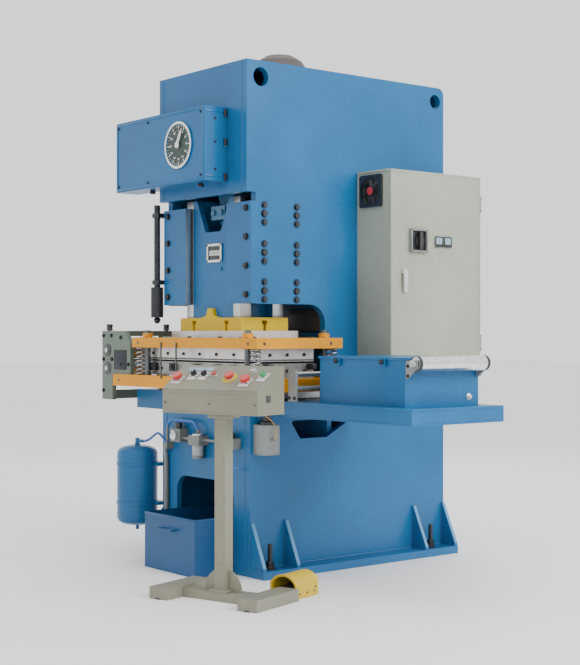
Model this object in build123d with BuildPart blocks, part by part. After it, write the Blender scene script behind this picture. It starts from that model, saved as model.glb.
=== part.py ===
from build123d import *
import os
from math import hypot

# A C-frame mechanical stamping press with its die set, feed table, control cabinet and console.
# Millimetres. X is to the right seen from the front, Y to the back, Z up.
# The origin is on the floor, below the front face of the crown, midway between the side plates.
os.makedirs("parts", exist_ok=True)

# Frame
frame_height = 2600
frame_width = 790
frame_depth = 1385
plate = 40
wall = 30
base_thickness = 40
foot_reach = 115
foot_front = 20
crown_bottom = frame_height - 665
bed_top = 830
bed_plate = 40
throat_top = 1373
throat_back = 512
throat_radius = 100
throat_foot_radius = 30
corner_radius = 40
middle_wall_y = 560
rear_wall_y = frame_depth - 565

# Openings of the frame
lift_front = (89, frame_height - 82)
lift_front_radius = 48
lift_rear = (frame_depth - 66, frame_height - 79)
lift_rear_radius = 39
window_bottom = 680
window_top = 775
arch_width = 512
arch_top = 464
arch_radius = 80
scrap_hole_width = 300
scrap_hole_depth = 180

# Feet
gusset_thickness = 20
gusset_height = 230
gusset_places = (30, 247, frame_depth - 235, frame_depth - 10)
anchor_places = (180, frame_depth - 85)
anchor_hole_radius = 17
levelling_places = (105, frame_depth - 155)
levelling_radius = 12

# Drive line
crank_height = frame_height - 405
rear_wall_bottom = crank_height - 555
motor_shelf_top = crank_height - 870
stroke = 60
crank_front_radius = 60
crank_rear_radius = 65
shaft_radius = 55
stub_radius = 12
pin_radius = 80
cheek_radius = 125
cheek = 25
pin_length = 124
bush_wall = 20
running_gap = 0.05
flywheel_radius = 310
flywheel_front = frame_depth - 295
flywheel_width = 140
clutch_radius = 190
pulley_radius = 80
motor_radius = 130
motor_axis_height = crank_height - 720
motor_front = middle_wall_y + wall + 110
motor_length = flywheel_front - motor_front - 50
belt_thickness = 12

# Round cap on the crown
cap_radius = 150
cap_top = frame_height + 140
cap_flange = 12
cap_y = 520

# Slide and guides
slide_front = 75
slide_depth = 280
slide_half = 180
slide_bottom = 1305
slide_top = crown_bottom - 5
slide_height = slide_top - slide_bottom
rail_reach = 60
rail_depth = 70
slide_gap = 0.3
gib_top = crown_bottom - 45
gib_bottom = 1376
gib_cover = 29
gib_cover_inner = 185
screw_head = 12
screw_groups = (gib_bottom + 64, (gib_bottom + gib_top) / 2, gib_top - 61)
screw_pitch = 44
cover_bolt_heights = [gib_bottom + 44 + n * (gib_top - gib_bottom - 77) / 3 for n in range(4)]

# Die set
die_centre_y = 208
die_depth = 562
bolster_half = 390
bolster_back = 480
bolster_height = 100
lower_shoe_left = 770
lower_shoe = 65
upper_shoe_half = 569
upper_shoe_bottom = 1147
upper_shoe = 53
pressure_half = 360
pressure_depth = 313
pressure_plate_height = 36
slide_plate_half = 273
slide_plate_depth = 307
die_block_half = 505
die_block_front = -10
die_block_back = 350
lower_block = 77
upper_block = 65
post_radius = 16
post_reach = 455
post_inset = 34
bushing_radius = 28
bushing_head = 22
spring_radius = 28
spring_reach = 520

# Feed side
shelf_front = 103
right_shelf_end = 1475
right_shelf_back = 700
right_shelf_bottom = 809
right_shelf_top = 885
left_shelf_end = 788
left_shelf_back = 480
left_shelf_bottom = 800
left_shelf_top = 905
shelf_wall = 8
oil_box_left = 745
oil_box_right = 1346
oil_box_front = 185
oil_box_back = 664
oil_box_top = 1113
oil_box_sheet = 5
lid_height = 12
guide_roller_x = 1400
guide_roller_z = 1085
guide_roller_radius = 35
guide_roller_front = 200
guide_roller_back = 645
arm = 10
entry_x = 625
entry_roller_radius = 13
entry_roller_heights = (952, 1022)
entry_front = 105
entry_back = 382

# Left roll unit
feed_roll_x = -840
feed_roll_radius = 50
feed_pass = 1077
feed_front = -60
feed_back = 350
feed_cheek = 25
feed_left = 900
feed_right = 600
feed_top = 1237
feed_bottom = 849
journal_radius = 15

# Cabinet
cabinet_right = 641
cabinet_front = frame_depth - 647
cabinet_back = frame_depth + 30
cabinet_bottom = 1021
cabinet_top = 2081
cabinet_sheet = 5
door_thickness = 13.5
fan_x = 511
fan_z = 1973
fan_size = 170
fan_radius = 74
handle_y = cabinet_front + 192
handle_z = 1712
latch_y = cabinet_front + 92
latch_z = 1545

# Cover box on the crown
box_left = -614
box_right = 227
box_bottom = crank_height - 199
box_top = crank_height + 180
box_depth = 141
box_sheet = 4
dial_radius = 122
dial_ring = 14

# Console
console_x = 768
console_y = -412
console_turn = 17
console_half = 272
console_front = -110
console_back = 95
console_bottom = 857
console_lip = 970
console_crest = 1074
console_crest_y = 55
console_sheet = 3
console_base_half = 305
console_foot_length = 330
console_foot_width = 105
console_base_height = 55
post_size = 60
pedal_x = 215
pedal_y = 265

# Scrap bin
bin_left = -214
bin_right = 244
bin_front = -212
bin_back = 330
bin_height = 290
bin_sheet = 4

# Air tank
tank_x = -535
tank_y = -55
tank_radius = 111
tank_bottom = 171
tank_top = 609

# Post at the left of the gibs
hang_x = -436
hang_y = 10
hang_radius = 17
hang_bottom = gib_bottom - 102

# Values that follow from those above
outer = frame_width / 2
inner = outer - plate
throw = stroke / 2
slide_back = slide_front + slide_depth
flywheel_back = flywheel_front + flywheel_width
slide_centre_y = slide_front + slide_depth / 2
gib_front = slide_front - 18 - gib_cover
gib_face = slide_half + rail_reach + slide_gap
bolster_top = bed_top + bolster_height
lower_shoe_top = bolster_top + lower_shoe
upper_shoe_top = upper_shoe_bottom + upper_shoe
pressure_top = upper_shoe_top + pressure_plate_height
upper_block_bottom = upper_shoe_bottom - upper_block
lower_block_top = lower_shoe_top + lower_block
die_front = die_centre_y - die_depth / 2
die_back = die_centre_y + die_depth / 2
foot_outer = outer + foot_reach
anchor_x = foot_outer - 60
turned = {"X": (0, 90, 0), "Y": (90, 0, 0), "Z": (0, 0, 0)}


def front_plane(y):
    """The plane at depth y, with X across and Z up; it is extruded backwards by a negative amount."""
    return Plane.XZ.offset(-y)


def side_plane(x):
    """The plane at x, with Y across and Z up."""
    return Plane.YZ.offset(x)


def level(z):
    """The plane at height z."""
    return Plane.XY.offset(z)


def block(x0, x1, y0, y1, z0, z1, mode=Mode.ADD):
    """A rectangular block between the given limits, in the part being built."""
    with Locations(((x0 + x1) / 2, (y0 + y1) / 2, (z0 + z1) / 2)):
        Box(x1 - x0, y1 - y0, z1 - z0, mode=mode)


def bar(axis, start, radius, length, mode=Mode.ADD):
    """A round bar that runs from start along an axis, in the part being built."""
    middle = Vector(*start) + Vector(*{"X": (1, 0, 0), "Y": (0, 1, 0), "Z": (0, 0, 1)}[axis]) * length / 2
    with Locations(Location(middle, turned[axis])):
        Cylinder(radius, length, mode=mode)


def ring(axis, start, outer_radius, inner_radius, length):
    """A bush or collar along an axis, in the part being built."""
    bar(axis, start, outer_radius, length)
    bar(axis, start, inner_radius, length, mode=Mode.SUBTRACT)


# Foot flanges, each with four gussets and two anchor holes
with BuildPart() as feet:
    for side in (-1, 1):
        x0, x1 = sorted((side * outer, side * foot_outer))
        block(x0, x1, foot_front, frame_depth, 0, base_thickness)
        for place in gusset_places:
            with BuildSketch(front_plane(place - gusset_thickness / 2)):
                with BuildLine():
                    Polyline((side * outer, base_thickness), (side * (foot_outer - 4), base_thickness),
                             (side * (foot_outer - 4), base_thickness + 14),
                             (side * (outer + 10), base_thickness + gusset_height),
                             (side * outer, base_thickness + gusset_height), close=True)
                make_face()
            extrude(amount=-gusset_thickness)
    with Locations(*[(x, y, base_thickness) for x in (-anchor_x, anchor_x) for y in anchor_places]):
        Hole(anchor_hole_radius, base_thickness)

# Side plates, each cut from one thick plate with the C of the throat
screw_places = [(y, z + step * screw_pitch)
                for y in (slide_front + rail_depth / 2, slide_back - rail_depth / 2)
                for z in screw_groups for step in (-1, 0, 1)]
with BuildPart() as side_plate_right:
    with BuildSketch(side_plane(inner)) as side_outline:
        with BuildLine():
            Polyline((0, frame_height), (frame_depth, frame_height), (frame_depth, 0), (foot_front, 0),
                     (foot_front, bed_top), (throat_back, bed_top), (throat_back, throat_top),
                     (gib_front + gib_cover, throat_top), (gib_front + gib_cover, crown_bottom),
                     (0, crown_bottom), close=True)
        make_face()
        corners = side_outline.vertices()
        fillet(corners.sort_by_distance((frame_depth, frame_height))[0], corner_radius)
        fillet(side_outline.vertices().sort_by_distance((throat_back, throat_top))[0], throat_radius)
        fillet(side_outline.vertices().sort_by_distance((throat_back, bed_top))[0], throat_foot_radius)
        with Locations(lift_front):
            Circle(lift_front_radius, mode=Mode.SUBTRACT)
        with Locations(lift_rear):
            Circle(lift_rear_radius, mode=Mode.SUBTRACT)
        with BuildLine():
            FilletPolyline((280, window_top), (700, window_top), (525, window_bottom), (345, window_bottom),
                           radius=12, close=True)
        make_face(mode=Mode.SUBTRACT)
    extrude(amount=plate)

with BuildPart() as side_plate_left:
    mirror(side_plate_right.part, about=Plane.YZ)

# Crown: front plate with the bearing boss, and top plate
with BuildPart() as crown:
    with BuildSketch(front_plane(0)):
        with Locations((0, (crown_bottom + frame_height) / 2)):
            Rectangle(2 * inner, frame_height - crown_bottom)
    extrude(amount=-wall)
    block(-inner, inner, wall, frame_depth - corner_radius, frame_height - wall, frame_height)
    bar("Y", (0, wall, crank_height), crank_front_radius + bush_wall + 30, 40)
    bar("Y", (0, 0, crank_height), crank_front_radius + bush_wall, wall + 40, mode=Mode.SUBTRACT)

# Inner walls with the crankshaft bores, and the shelf that carries the motor
with BuildPart() as inner_walls:
    block(-inner, inner, middle_wall_y, middle_wall_y + wall, 0, frame_height - wall)
    block(-inner, inner, rear_wall_y, rear_wall_y + wall, rear_wall_bottom, frame_height - wall)
    block(-inner, inner, middle_wall_y + wall, flywheel_front + 60, motor_shelf_top - 25, motor_shelf_top)
    block(-inner, inner, frame_depth - 70, frame_depth - 20, motor_shelf_top - 75, motor_shelf_top)
    bar("Y", (0, middle_wall_y - 10, crank_height), crank_rear_radius + bush_wall + 25, wall + 20)
    bar("Y", (0, rear_wall_y - 10, crank_height), shaft_radius + bush_wall + 25, wall + 20)
    bar("Y", (0, middle_wall_y - 10, crank_height), crank_rear_radius + bush_wall, wall + 20,
        mode=Mode.SUBTRACT)
    bar("Y", (0, rear_wall_y - 10, crank_height), shaft_radius + bush_wall, wall + 20, mode=Mode.SUBTRACT)

# Bed: front plate with the scrap arch, table plate with its drop hole, and the sloping chute
with BuildPart() as bed:
    with BuildSketch(front_plane(foot_front)):
        with Locations((0, bed_top / 2)):
            Rectangle(2 * inner, bed_top)
        with Locations((0, arch_top / 2)):
            RectangleRounded(arch_width, arch_top, arch_radius, mode=Mode.SUBTRACT)
        with Locations((0, arch_radius / 2)):
            Rectangle(arch_width, arch_radius, mode=Mode.SUBTRACT)
    extrude(amount=-wall)
    block(-inner, inner, foot_front + wall, middle_wall_y, bed_top - bed_plate, bed_top)
    block(-scrap_hole_width / 2, scrap_hole_width / 2, die_centre_y - scrap_hole_depth / 2,
          die_centre_y + scrap_hole_depth / 2, bed_top - bed_plate, bed_top, mode=Mode.SUBTRACT)
    with BuildSketch(side_plane(-190)):
        with BuildLine():
            Polyline((middle_wall_y, bed_top - 130), (middle_wall_y, bed_top - 142), (220, bin_height + 40),
                     (212, bin_height + 48), close=True)
        make_face()
    extrude(amount=380)

# Bolster with T-slots along the depth
with BuildPart() as bolster:
    block(-bolster_half, bolster_half, foot_front, bolster_back, bed_top, bolster_top)
    block(-scrap_hole_width / 2, scrap_hole_width / 2, die_centre_y - scrap_hole_depth / 2,
          die_centre_y + scrap_hole_depth / 2, bed_top, bolster_top, mode=Mode.SUBTRACT)
    for x in (-310, -200, 200, 310):
        block(x - 14, x + 14, foot_front, bolster_back, bolster_top - 44, bolster_top, mode=Mode.SUBTRACT)
        block(x - 25, x + 25, foot_front, bolster_back, bolster_top - 44, bolster_top - 22,
              mode=Mode.SUBTRACT)

# Rear guard, one sheet with rows of louvre slots
with BuildPart() as rear_guard:
    block(-inner, inner, frame_depth - 20, frame_depth - 16, 0, frame_height - wall)
    with BuildSketch(front_plane(frame_depth - 20)):
        with Locations((0, crank_height - 495), (0, bed_top - 130)):
            with GridLocations(300, 70, 2, 6):
                Rectangle(220, 24)
    extrude(amount=-4, mode=Mode.SUBTRACT)

# Gibs: four L-shaped bars that the slide's rails run against
with BuildPart() as guide_gibs:
    for side in (-1, 1):
        for back in (False, True):
            y_out = slide_back + 28 if back else gib_front + gib_cover
            y_lip = slide_back + slide_gap if back else slide_front - slide_gap
            y_in = slide_back - rail_depth if back else slide_front + rail_depth
            with BuildSketch(level(gib_bottom)):
                with BuildLine():
                    Polyline((side * gib_cover_inner, y_out), (side * inner, y_out), (side * inner, y_in),
                             (side * gib_face, y_in), (side * gib_face, y_lip),
                             (side * gib_cover_inner, y_lip), close=True)
                make_face()
            extrude(amount=gib_top - gib_bottom)
        x0, x1 = sorted((side * (gib_face + 50), side * inner))
        block(x0, x1, slide_front + rail_depth, slide_back - rail_depth, gib_bottom, gib_top)

# Cover plates in front of the gibs, bolted to the side plates
with BuildPart() as gib_cover_plates:
    for side in (-1, 1):
        x0, x1 = sorted((side * gib_cover_inner, side * outer))
        block(x0, x1, gib_front, gib_front + gib_cover, gib_bottom, gib_top)

# Heads of the gib screws and of the cover plates' bolts, and the levelling screws of the feet
with BuildPart() as fasteners:
    for side in (-1, 1):
        for index, (y, z) in enumerate(screw_places):
            with BuildSketch(side_plane(outer if side > 0 else -outer - screw_head)):
                with Locations((y, z)):
                    RegularPolygon(17 if index % 3 == 1 else 14, 6)
            extrude(amount=screw_head)
        for z in cover_bolt_heights:
            with BuildSketch(front_plane(gib_front - screw_head)):
                with Locations((side * (outer - 42), z)):
                    RegularPolygon(15, 6)
            extrude(amount=-screw_head)
        for y in levelling_places:
            with BuildSketch(Plane((side * anchor_x, y, base_thickness))):
                RegularPolygon(22, 6)
            extrude(amount=24)
            bar("Z", (side * anchor_x, y, base_thickness + 24), levelling_radius, 101)

# Cover box on the crown, with the angle dial's ring and the hinge knuckles
with BuildPart() as cover_box:
    block(box_left, box_right, -box_depth, 0, box_bottom, box_top)
    chamfer(cover_box.edges().filter_by(Axis.Z).group_by(Axis.Y)[0], 4)
    block(box_left + box_sheet, box_right - box_sheet, -box_depth + box_sheet, -box_sheet,
          box_bottom + box_sheet, box_top - box_sheet, mode=Mode.SUBTRACT)
    block(-inner, box_right - box_sheet, -box_sheet, 0, box_bottom + box_sheet, box_top - box_sheet,
          mode=Mode.SUBTRACT)
    ring("Y", (0, -box_depth - 8, crank_height), dial_radius, dial_radius - dial_ring, 8)
    bar("Y", (0, -box_depth - 8, crank_height), stub_radius + 2, box_sheet + 8, mode=Mode.SUBTRACT)
    for z in (box_top - 30, (box_top + box_bottom) / 2, box_bottom + 24):
        bar("Z", (box_right + 5, -14, z - 16), 7, 32)
    for x in (-357, 95):
        bar("Z", (x, -70, box_bottom - 22), 13, 22)

# Round cap on the crown's top
with BuildPart() as crown_dome:
    with BuildSketch(Plane.XZ):
        with BuildLine():
            Polyline((0, frame_height), (0, cap_top), (cap_radius / 2, cap_top - 6),
                     (cap_radius - 26, cap_top - 36), (cap_radius, cap_top - 76),
                     (cap_radius, frame_height + cap_flange), (cap_radius + 20, frame_height + cap_flange),
                     (cap_radius + 20, frame_height), close=True)
        make_face()
    revolve(axis=Axis.Z)
crown_dome.part = crown_dome.part.moved(Location((0, cap_y, 0)))

# Bronze bushes of the crankshaft
with BuildPart() as crank_bearings:
    ring("Y", (0, 0, crank_height), crank_front_radius + bush_wall,
         crank_front_radius + running_gap, wall + 40)
    ring("Y", (0, middle_wall_y - 10, crank_height), crank_rear_radius + bush_wall,
         crank_rear_radius + running_gap, wall + 20)
    ring("Y", (0, rear_wall_y - 10, crank_height), shaft_radius + bush_wall,
         shaft_radius + running_gap, wall + 20)

# Crankshaft: front stub for the dial, journals, cheeks and the offset crankpin at its lowest point
pin_front = slide_centre_y - pin_length / 2
pin_back = slide_centre_y + pin_length / 2
with BuildPart() as crankshaft:
    bar("Y", (0, -box_depth - 10, crank_height), stub_radius, box_depth - 20)
    bar("Y", (0, -30, crank_height), 30, 30)
    bar("Y", (0, 0, crank_height), crank_front_radius, pin_front - cheek)
    bar("Y", (0, pin_front - cheek, crank_height), cheek_radius, cheek)
    bar("Y", (0, pin_front, crank_height - throw), pin_radius, pin_length)
    bar("Y", (0, pin_back, crank_height), cheek_radius, cheek)
    bar("Y", (0, pin_back + cheek, crank_height), crank_rear_radius,
        middle_wall_y + 60 - pin_back - cheek)
    bar("Y", (0, middle_wall_y + 60, crank_height), shaft_radius, flywheel_back + 10 - middle_wall_y)
    bar("Y", (0, flywheel_front - 110, crank_height), clutch_radius, 60)

# Pointer of the angle dial, on the end of the crankshaft's stub
with BuildPart() as dial_pointer:
    bar("Y", (0, -box_depth - 16, crank_height), 16, 6)
    with BuildSketch(front_plane(-box_depth - 16)):
        with BuildLine():
            Polyline((-7, crank_height - 12), (7, crank_height - 12), (9, crank_height + 55),
                     (0, crank_height + 92), (-9, crank_height + 55), close=True)
        make_face()
    extrude(amount=-3)
dial_pointer.part = dial_pointer.part.rotate(Axis((0, 0, crank_height), (0, 1, 0)), 28)

# Connecting rod with its clamp block, and the adjusting screw with the ball
pin_centre = crank_height - throw
strap_bore = pin_radius + throw + 1.5
strap_radius = strap_bore + 40
rod_front = slide_centre_y - 55
ball_height = slide_bottom + slide_height * 0.472
ball_radius = 58
screw_core = 36
screw_top = slide_top + 55
clamp_bottom = slide_top - 140
with BuildPart() as connecting_rod:
    with BuildSketch(front_plane(rod_front)) as rod_outline:
        with BuildLine():
            Polyline((-100, pin_centre - 110), (-52, slide_top - 30), (-52, slide_top - 130),
                     (52, slide_top - 130), (52, slide_top - 30),
                     (100, pin_centre - 110), close=True)
        make_face()
        with Locations((0, pin_centre)):
            Circle(strap_radius)
            Circle(strap_bore, mode=Mode.SUBTRACT)
    extrude(amount=-110)
    bar("Z", (0, slide_centre_y, clamp_bottom), 62, 115)
    block(-60, 60, slide_front + 32, slide_centre_y, slide_top - 107, slide_top - 35)
    bar("Z", (0, slide_centre_y, clamp_bottom), screw_core, 200, mode=Mode.SUBTRACT)
    for x in (-34, 34):
        bar("Y", (x, slide_front + 20, slide_top - 71), 15, 12)
    bar("Z", (0, slide_centre_y, ball_height), screw_core, screw_top - ball_height)
    with Locations((0, slide_centre_y, ball_height)):
        Sphere(ball_radius)

# Slide: hollow body open at the top, with four guide rails, the front window and the counter's bezel
window_foot = slide_top - slide_height * 0.2768
counter_x = 20
counter_z = slide_bottom + slide_height * 0.544
with BuildPart() as slide:
    with BuildSketch(level(slide_bottom)):
        with Locations((0, slide_centre_y)):
            Rectangle(2 * slide_half, slide_depth)
            with Locations((0, (slide_depth - rail_depth) / 2), (0, (rail_depth - slide_depth) / 2)):
                Rectangle(2 * (slide_half + rail_reach), rail_depth)
    extrude(amount=slide_top - slide_bottom)
    block(-slide_half + 30, slide_half - 30, slide_front + 28, slide_back - 28, ball_height - 15, slide_top,
          mode=Mode.SUBTRACT)
    with BuildSketch(front_plane(slide_front)) as window_outline:
        with BuildLine():
            Polyline((-148, slide_top), (-69, window_foot), (69, window_foot), (148, slide_top), close=True)
        make_face()
        fillet(window_outline.vertices().group_by(Axis.Y)[0], 24)
    extrude(amount=-28, mode=Mode.SUBTRACT)
    bar("Z", (0, slide_centre_y, ball_height - ball_radius), ball_radius + 0.5, ball_radius,
        mode=Mode.SUBTRACT)
    with BuildSketch(front_plane(slide_front - 8)):
        with Locations((counter_x, counter_z)):
            RectangleRounded(134, 100, 14)
            RectangleRounded(106, 72, 8, mode=Mode.SUBTRACT)
    extrude(amount=-8)
    block(counter_x - 53, counter_x + 53, slide_front - 3, slide_front, counter_z - 36, counter_z + 36)
    bar("Y", (counter_x + 54, slide_front - 6, counter_z - 85), 9, 6)

# Face plate of the slide, with T-slots that open downwards and the lug in front
plate_front = die_centre_y - slide_plate_depth / 2
plate_back = die_centre_y + slide_plate_depth / 2
with BuildPart() as slide_plate:
    block(-slide_plate_half, slide_plate_half, plate_front, plate_back, pressure_top, slide_bottom)
    with BuildSketch(front_plane(plate_front)) as lug_outline:
        with BuildLine():
            FilletPolyline((-80, slide_bottom), (-34, slide_bottom + 12), (-22, slide_bottom + 50),
                           (22, slide_bottom + 50), (34, slide_bottom + 12), (80, slide_bottom), radius=11)
            Line((80, slide_bottom), (-80, slide_bottom))
        make_face()
    extrude(amount=plate_front - slide_front)
    for x in (-146, 146):
        block(x - 9, x + 9, plate_front, plate_back, pressure_top, pressure_top + 34, mode=Mode.SUBTRACT)
        block(x - 17, x + 17, plate_front, plate_back, pressure_top + 34, pressure_top + 54,
              mode=Mode.SUBTRACT)
    block(-slide_plate_half, slide_plate_half, die_centre_y - 9, die_centre_y + 9, pressure_top,
          pressure_top + 34, mode=Mode.SUBTRACT)
    block(-slide_plate_half, slide_plate_half, die_centre_y - 17, die_centre_y + 17, pressure_top + 34,
          pressure_top + 54, mode=Mode.SUBTRACT)

# Pressure plate between the slide's face plate and the upper shoe
with BuildPart() as pressure_plate:
    block(-pressure_half, pressure_half, die_centre_y - pressure_depth / 2,
          die_centre_y + pressure_depth / 2, upper_shoe_top, pressure_top)
    chamfer(pressure_plate.edges().filter_by(Axis.Z), 6)

# Shoes of the die set: the upper one carries the bushings that run on the four guide posts
post_lines = (die_front + post_inset, die_back - post_inset)
post_places = [(x, y) for x in (-post_reach, post_reach) for y in post_lines]
spring_places = [(x, y) for x in (-spring_reach, spring_reach)
                 for y in (die_front + post_inset, die_back - post_inset)]
with BuildPart() as upper_die_shoe:
    block(-upper_shoe_half, upper_shoe_half, die_front, die_back, upper_shoe_bottom, upper_shoe_top)
    fillet(upper_die_shoe.edges().filter_by(Axis.Z), 10)
    for x, y in post_places:
        bar("Z", (x, y, upper_shoe_top), bushing_radius, bushing_head)
        bar("Z", (x, y, upper_shoe_bottom), post_radius + running_gap, upper_shoe + bushing_head,
            mode=Mode.SUBTRACT)

with BuildPart() as lower_die_shoe:
    block(-lower_shoe_left, upper_shoe_half, die_front, die_back, bolster_top, lower_shoe_top)
    fillet(lower_die_shoe.edges().filter_by(Axis.Z), 10)
    block(-scrap_hole_width / 2 + 20, scrap_hole_width / 2 - 20, die_centre_y - scrap_hole_depth / 2 + 20,
          die_centre_y + scrap_hole_depth / 2 - 20, bolster_top, lower_shoe_top, mode=Mode.SUBTRACT)

# Guide posts that stand on the lower shoe, and the thin stop rods at its front edge
with BuildPart() as guide_posts:
    for x, y in post_places:
        bar("Z", (x, y, lower_shoe_top), post_radius, upper_shoe_top + 40 - lower_shoe_top)
    for x in (-266, -121):
        bar("Z", (x, die_front - 5, lower_shoe_top - 12), 5, 192)

# Sleeves that stand for the four return springs between the shoes
with BuildPart() as die_springs:
    for x, y in spring_places:
        ring("Z", (x, y, lower_shoe_top), spring_radius, spring_radius - 9,
             upper_shoe_bottom - lower_shoe_top)

# Die blocks: the upper carries a row of punches that enter the lower one
punch_places = [(x, die_centre_y) for x in (-110, -55, 0, 55, 110)]
with BuildPart() as upper_die_block:
    block(-die_block_half, die_block_half, die_block_front, die_block_back,
          upper_block_bottom, upper_shoe_bottom)
    chamfer(upper_die_block.edges().filter_by(Axis.Z), 8)
    for x, y in punch_places:
        bar("Z", (x, y, lower_block_top - 5), 16, upper_block_bottom - lower_block_top + 5)

with BuildPart() as lower_die_block:
    block(-die_block_half, die_block_half, die_block_front, die_block_back, lower_shoe_top, lower_block_top)
    chamfer(lower_die_block.edges().filter_by(Axis.Z), 8)
    with Locations(*[(x, y, lower_block_top) for x, y in punch_places]):
        Hole(16.5, lower_block)

# Flywheel with two belt grooves, free on the rear end of the crankshaft
groove_depth = 14
belt_width = 34
groove_middles = (flywheel_front + flywheel_width * 0.28, flywheel_front + flywheel_width * 0.72)


def grooved_rim(radius, depth):
    """Points of a grooved rim along Y, as (depth position, distance from the axis) pairs."""
    points = [(flywheel_front, radius)]
    for middle in groove_middles:
        points += [(middle - belt_width / 2 - 6, radius), (middle - belt_width / 2, radius - depth),
                   (middle + belt_width / 2, radius - depth), (middle + belt_width / 2 + 6, radius)]
    return points + [(flywheel_back, radius)]


with BuildPart() as flywheel:
    with BuildSketch(Plane.YZ):
        with BuildLine():
            Polyline(*[(y, crank_height + r) for y, r in grooved_rim(flywheel_radius, groove_depth)],
                     (flywheel_back, crank_height + 240), (flywheel_back - 40, crank_height + 230),
                     (flywheel_back - 40, crank_height + 110), (flywheel_back, crank_height + 100),
                     (flywheel_back, crank_height + shaft_radius + running_gap),
                     (flywheel_front, crank_height + shaft_radius + running_gap), close=True)
        make_face()
    revolve(axis=Axis((0, 0, crank_height), (0, 1, 0)))

# Motor on its shelf, and the pulley on its shaft
motor_shaft_radius = 24
with BuildPart() as motor:
    bar("Y", (0, motor_front, motor_axis_height), motor_radius, motor_length)
    block(-110, 110, motor_front + 40, motor_front + motor_length - 40,
          motor_shelf_top, motor_axis_height - 90)
    block(motor_radius - 20, motor_radius + 50,
          motor_front + motor_length * 0.3, motor_front + motor_length * 0.65,
          motor_axis_height - 50, motor_axis_height + 50)
    bar("Y", (0, motor_front + motor_length, motor_axis_height), motor_shaft_radius,
        flywheel_back + 10 - motor_front - motor_length)

with BuildPart() as motor_pulley:
    with BuildSketch(Plane.YZ):
        with BuildLine():
            Polyline(*[(y, motor_axis_height + r) for y, r in grooved_rim(pulley_radius, groove_depth)],
                     (flywheel_back, motor_axis_height + motor_shaft_radius + running_gap),
                     (flywheel_front, motor_axis_height + motor_shaft_radius + running_gap), close=True)
        make_face()
    revolve(axis=Axis((0, 0, motor_axis_height), (0, 1, 0)))

# Belt loops that lie in the grooves of both wheels
belt_gap = 0.5


def belt_outline(extra):
    """The outline of a belt round both wheels, at a distance from the groove's floor."""
    with Locations((0, crank_height)):
        Circle(flywheel_radius - groove_depth + extra)
    with Locations((0, motor_axis_height)):
        Circle(pulley_radius - groove_depth + extra)
    make_hull()


with BuildPart() as drive_belts:
    for middle in groove_middles:
        with BuildSketch(front_plane(middle - belt_width / 2 + 2)):
            belt_outline(belt_gap + belt_thickness)
        extrude(amount=4 - belt_width)
        with BuildSketch(front_plane(middle - belt_width / 2 + 2)):
            belt_outline(belt_gap)
        extrude(amount=4 - belt_width, mode=Mode.SUBTRACT)

# Shelves on both sides of the bed, with the plates of the entry rollers and the arms of the guide roller
roller_shaft = 8
with BuildPart() as shelves:
    block(outer, right_shelf_end, shelf_front, right_shelf_back, right_shelf_bottom, right_shelf_top)
    block(outer, right_shelf_end - shelf_wall, shelf_front + shelf_wall, right_shelf_back - shelf_wall,
          right_shelf_bottom, right_shelf_top - shelf_wall, mode=Mode.SUBTRACT)
    block(-left_shelf_end, -outer, shelf_front, left_shelf_back, left_shelf_bottom, left_shelf_top)
    block(shelf_wall - left_shelf_end, -outer, shelf_front + shelf_wall, left_shelf_back - shelf_wall,
          left_shelf_bottom, left_shelf_top - shelf_wall, mode=Mode.SUBTRACT)

with BuildPart() as roller_stands:
    for y in (entry_front, entry_back - 12):
        block(entry_x - 30, entry_x + 30, y, y + 12, right_shelf_top, entry_roller_heights[1] + 22)
    for y in (guide_roller_front - arm - 3, guide_roller_back + 3):
        with BuildSketch(front_plane(y)):
            with BuildLine():
                FilletPolyline((oil_box_right, guide_roller_z - 75),
                               (guide_roller_x + 20, guide_roller_z - 18),
                               (guide_roller_x + 20, guide_roller_z + 18),
                               (oil_box_right, guide_roller_z + 14), radius=6, close=True)
            make_face()
        extrude(amount=-arm)
    bar("Y", (entry_x, entry_front, entry_roller_heights[0]), entry_roller_radius, entry_back - entry_front)
    bar("Y", (entry_x, entry_front - 5, entry_roller_heights[1]), roller_shaft + running_gap,
        entry_back - entry_front + 10, mode=Mode.SUBTRACT)
    bar("Y", (guide_roller_x, guide_roller_front - arm - 3, guide_roller_z), roller_shaft + running_gap,
        guide_roller_back - guide_roller_front + 2 * arm + 6, mode=Mode.SUBTRACT)


def roller(x, z, radius, front, back, reach):
    """A roller between front and back, on a shaft that reaches beyond both ends."""
    bar("Y", (x, front, z), radius, back - front)
    bar("Y", (x, front - reach, z), roller_shaft, back - front + 2 * reach)


with BuildPart() as entry_roller:
    roller(entry_x, entry_roller_heights[1], entry_roller_radius, entry_front + 13, entry_back - 13, 13)

with BuildPart() as guide_roller:
    roller(guide_roller_x, guide_roller_z, guide_roller_radius, guide_roller_front, guide_roller_back,
           arm + 14)
    for y in (guide_roller_front - arm - 14, guide_roller_back + arm + 4):
        bar("Y", (guide_roller_x, y, guide_roller_z), 18, 10)

# Oil box with its hinged lid
lid_bottom = oil_box_top - lid_height
with BuildPart() as oil_box:
    block(oil_box_left, oil_box_right, oil_box_front, oil_box_back, right_shelf_top, lid_bottom - 0.5)
    block(oil_box_left + oil_box_sheet, oil_box_right - oil_box_sheet, oil_box_front + oil_box_sheet,
          oil_box_back - oil_box_sheet, right_shelf_top + oil_box_sheet, lid_bottom - 0.5, mode=Mode.SUBTRACT)
    for x in (oil_box_left + 60, oil_box_right - 130):
        block(x - 14, x, oil_box_back - 4, oil_box_back + 12, lid_bottom - 40, lid_bottom + 8)
        block(x + 70, x + 84, oil_box_back - 4, oil_box_back + 12, lid_bottom - 40, lid_bottom + 8)
        bar("X", (x - 14, oil_box_back + 8, lid_bottom + 2), 4, 98)

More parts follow.
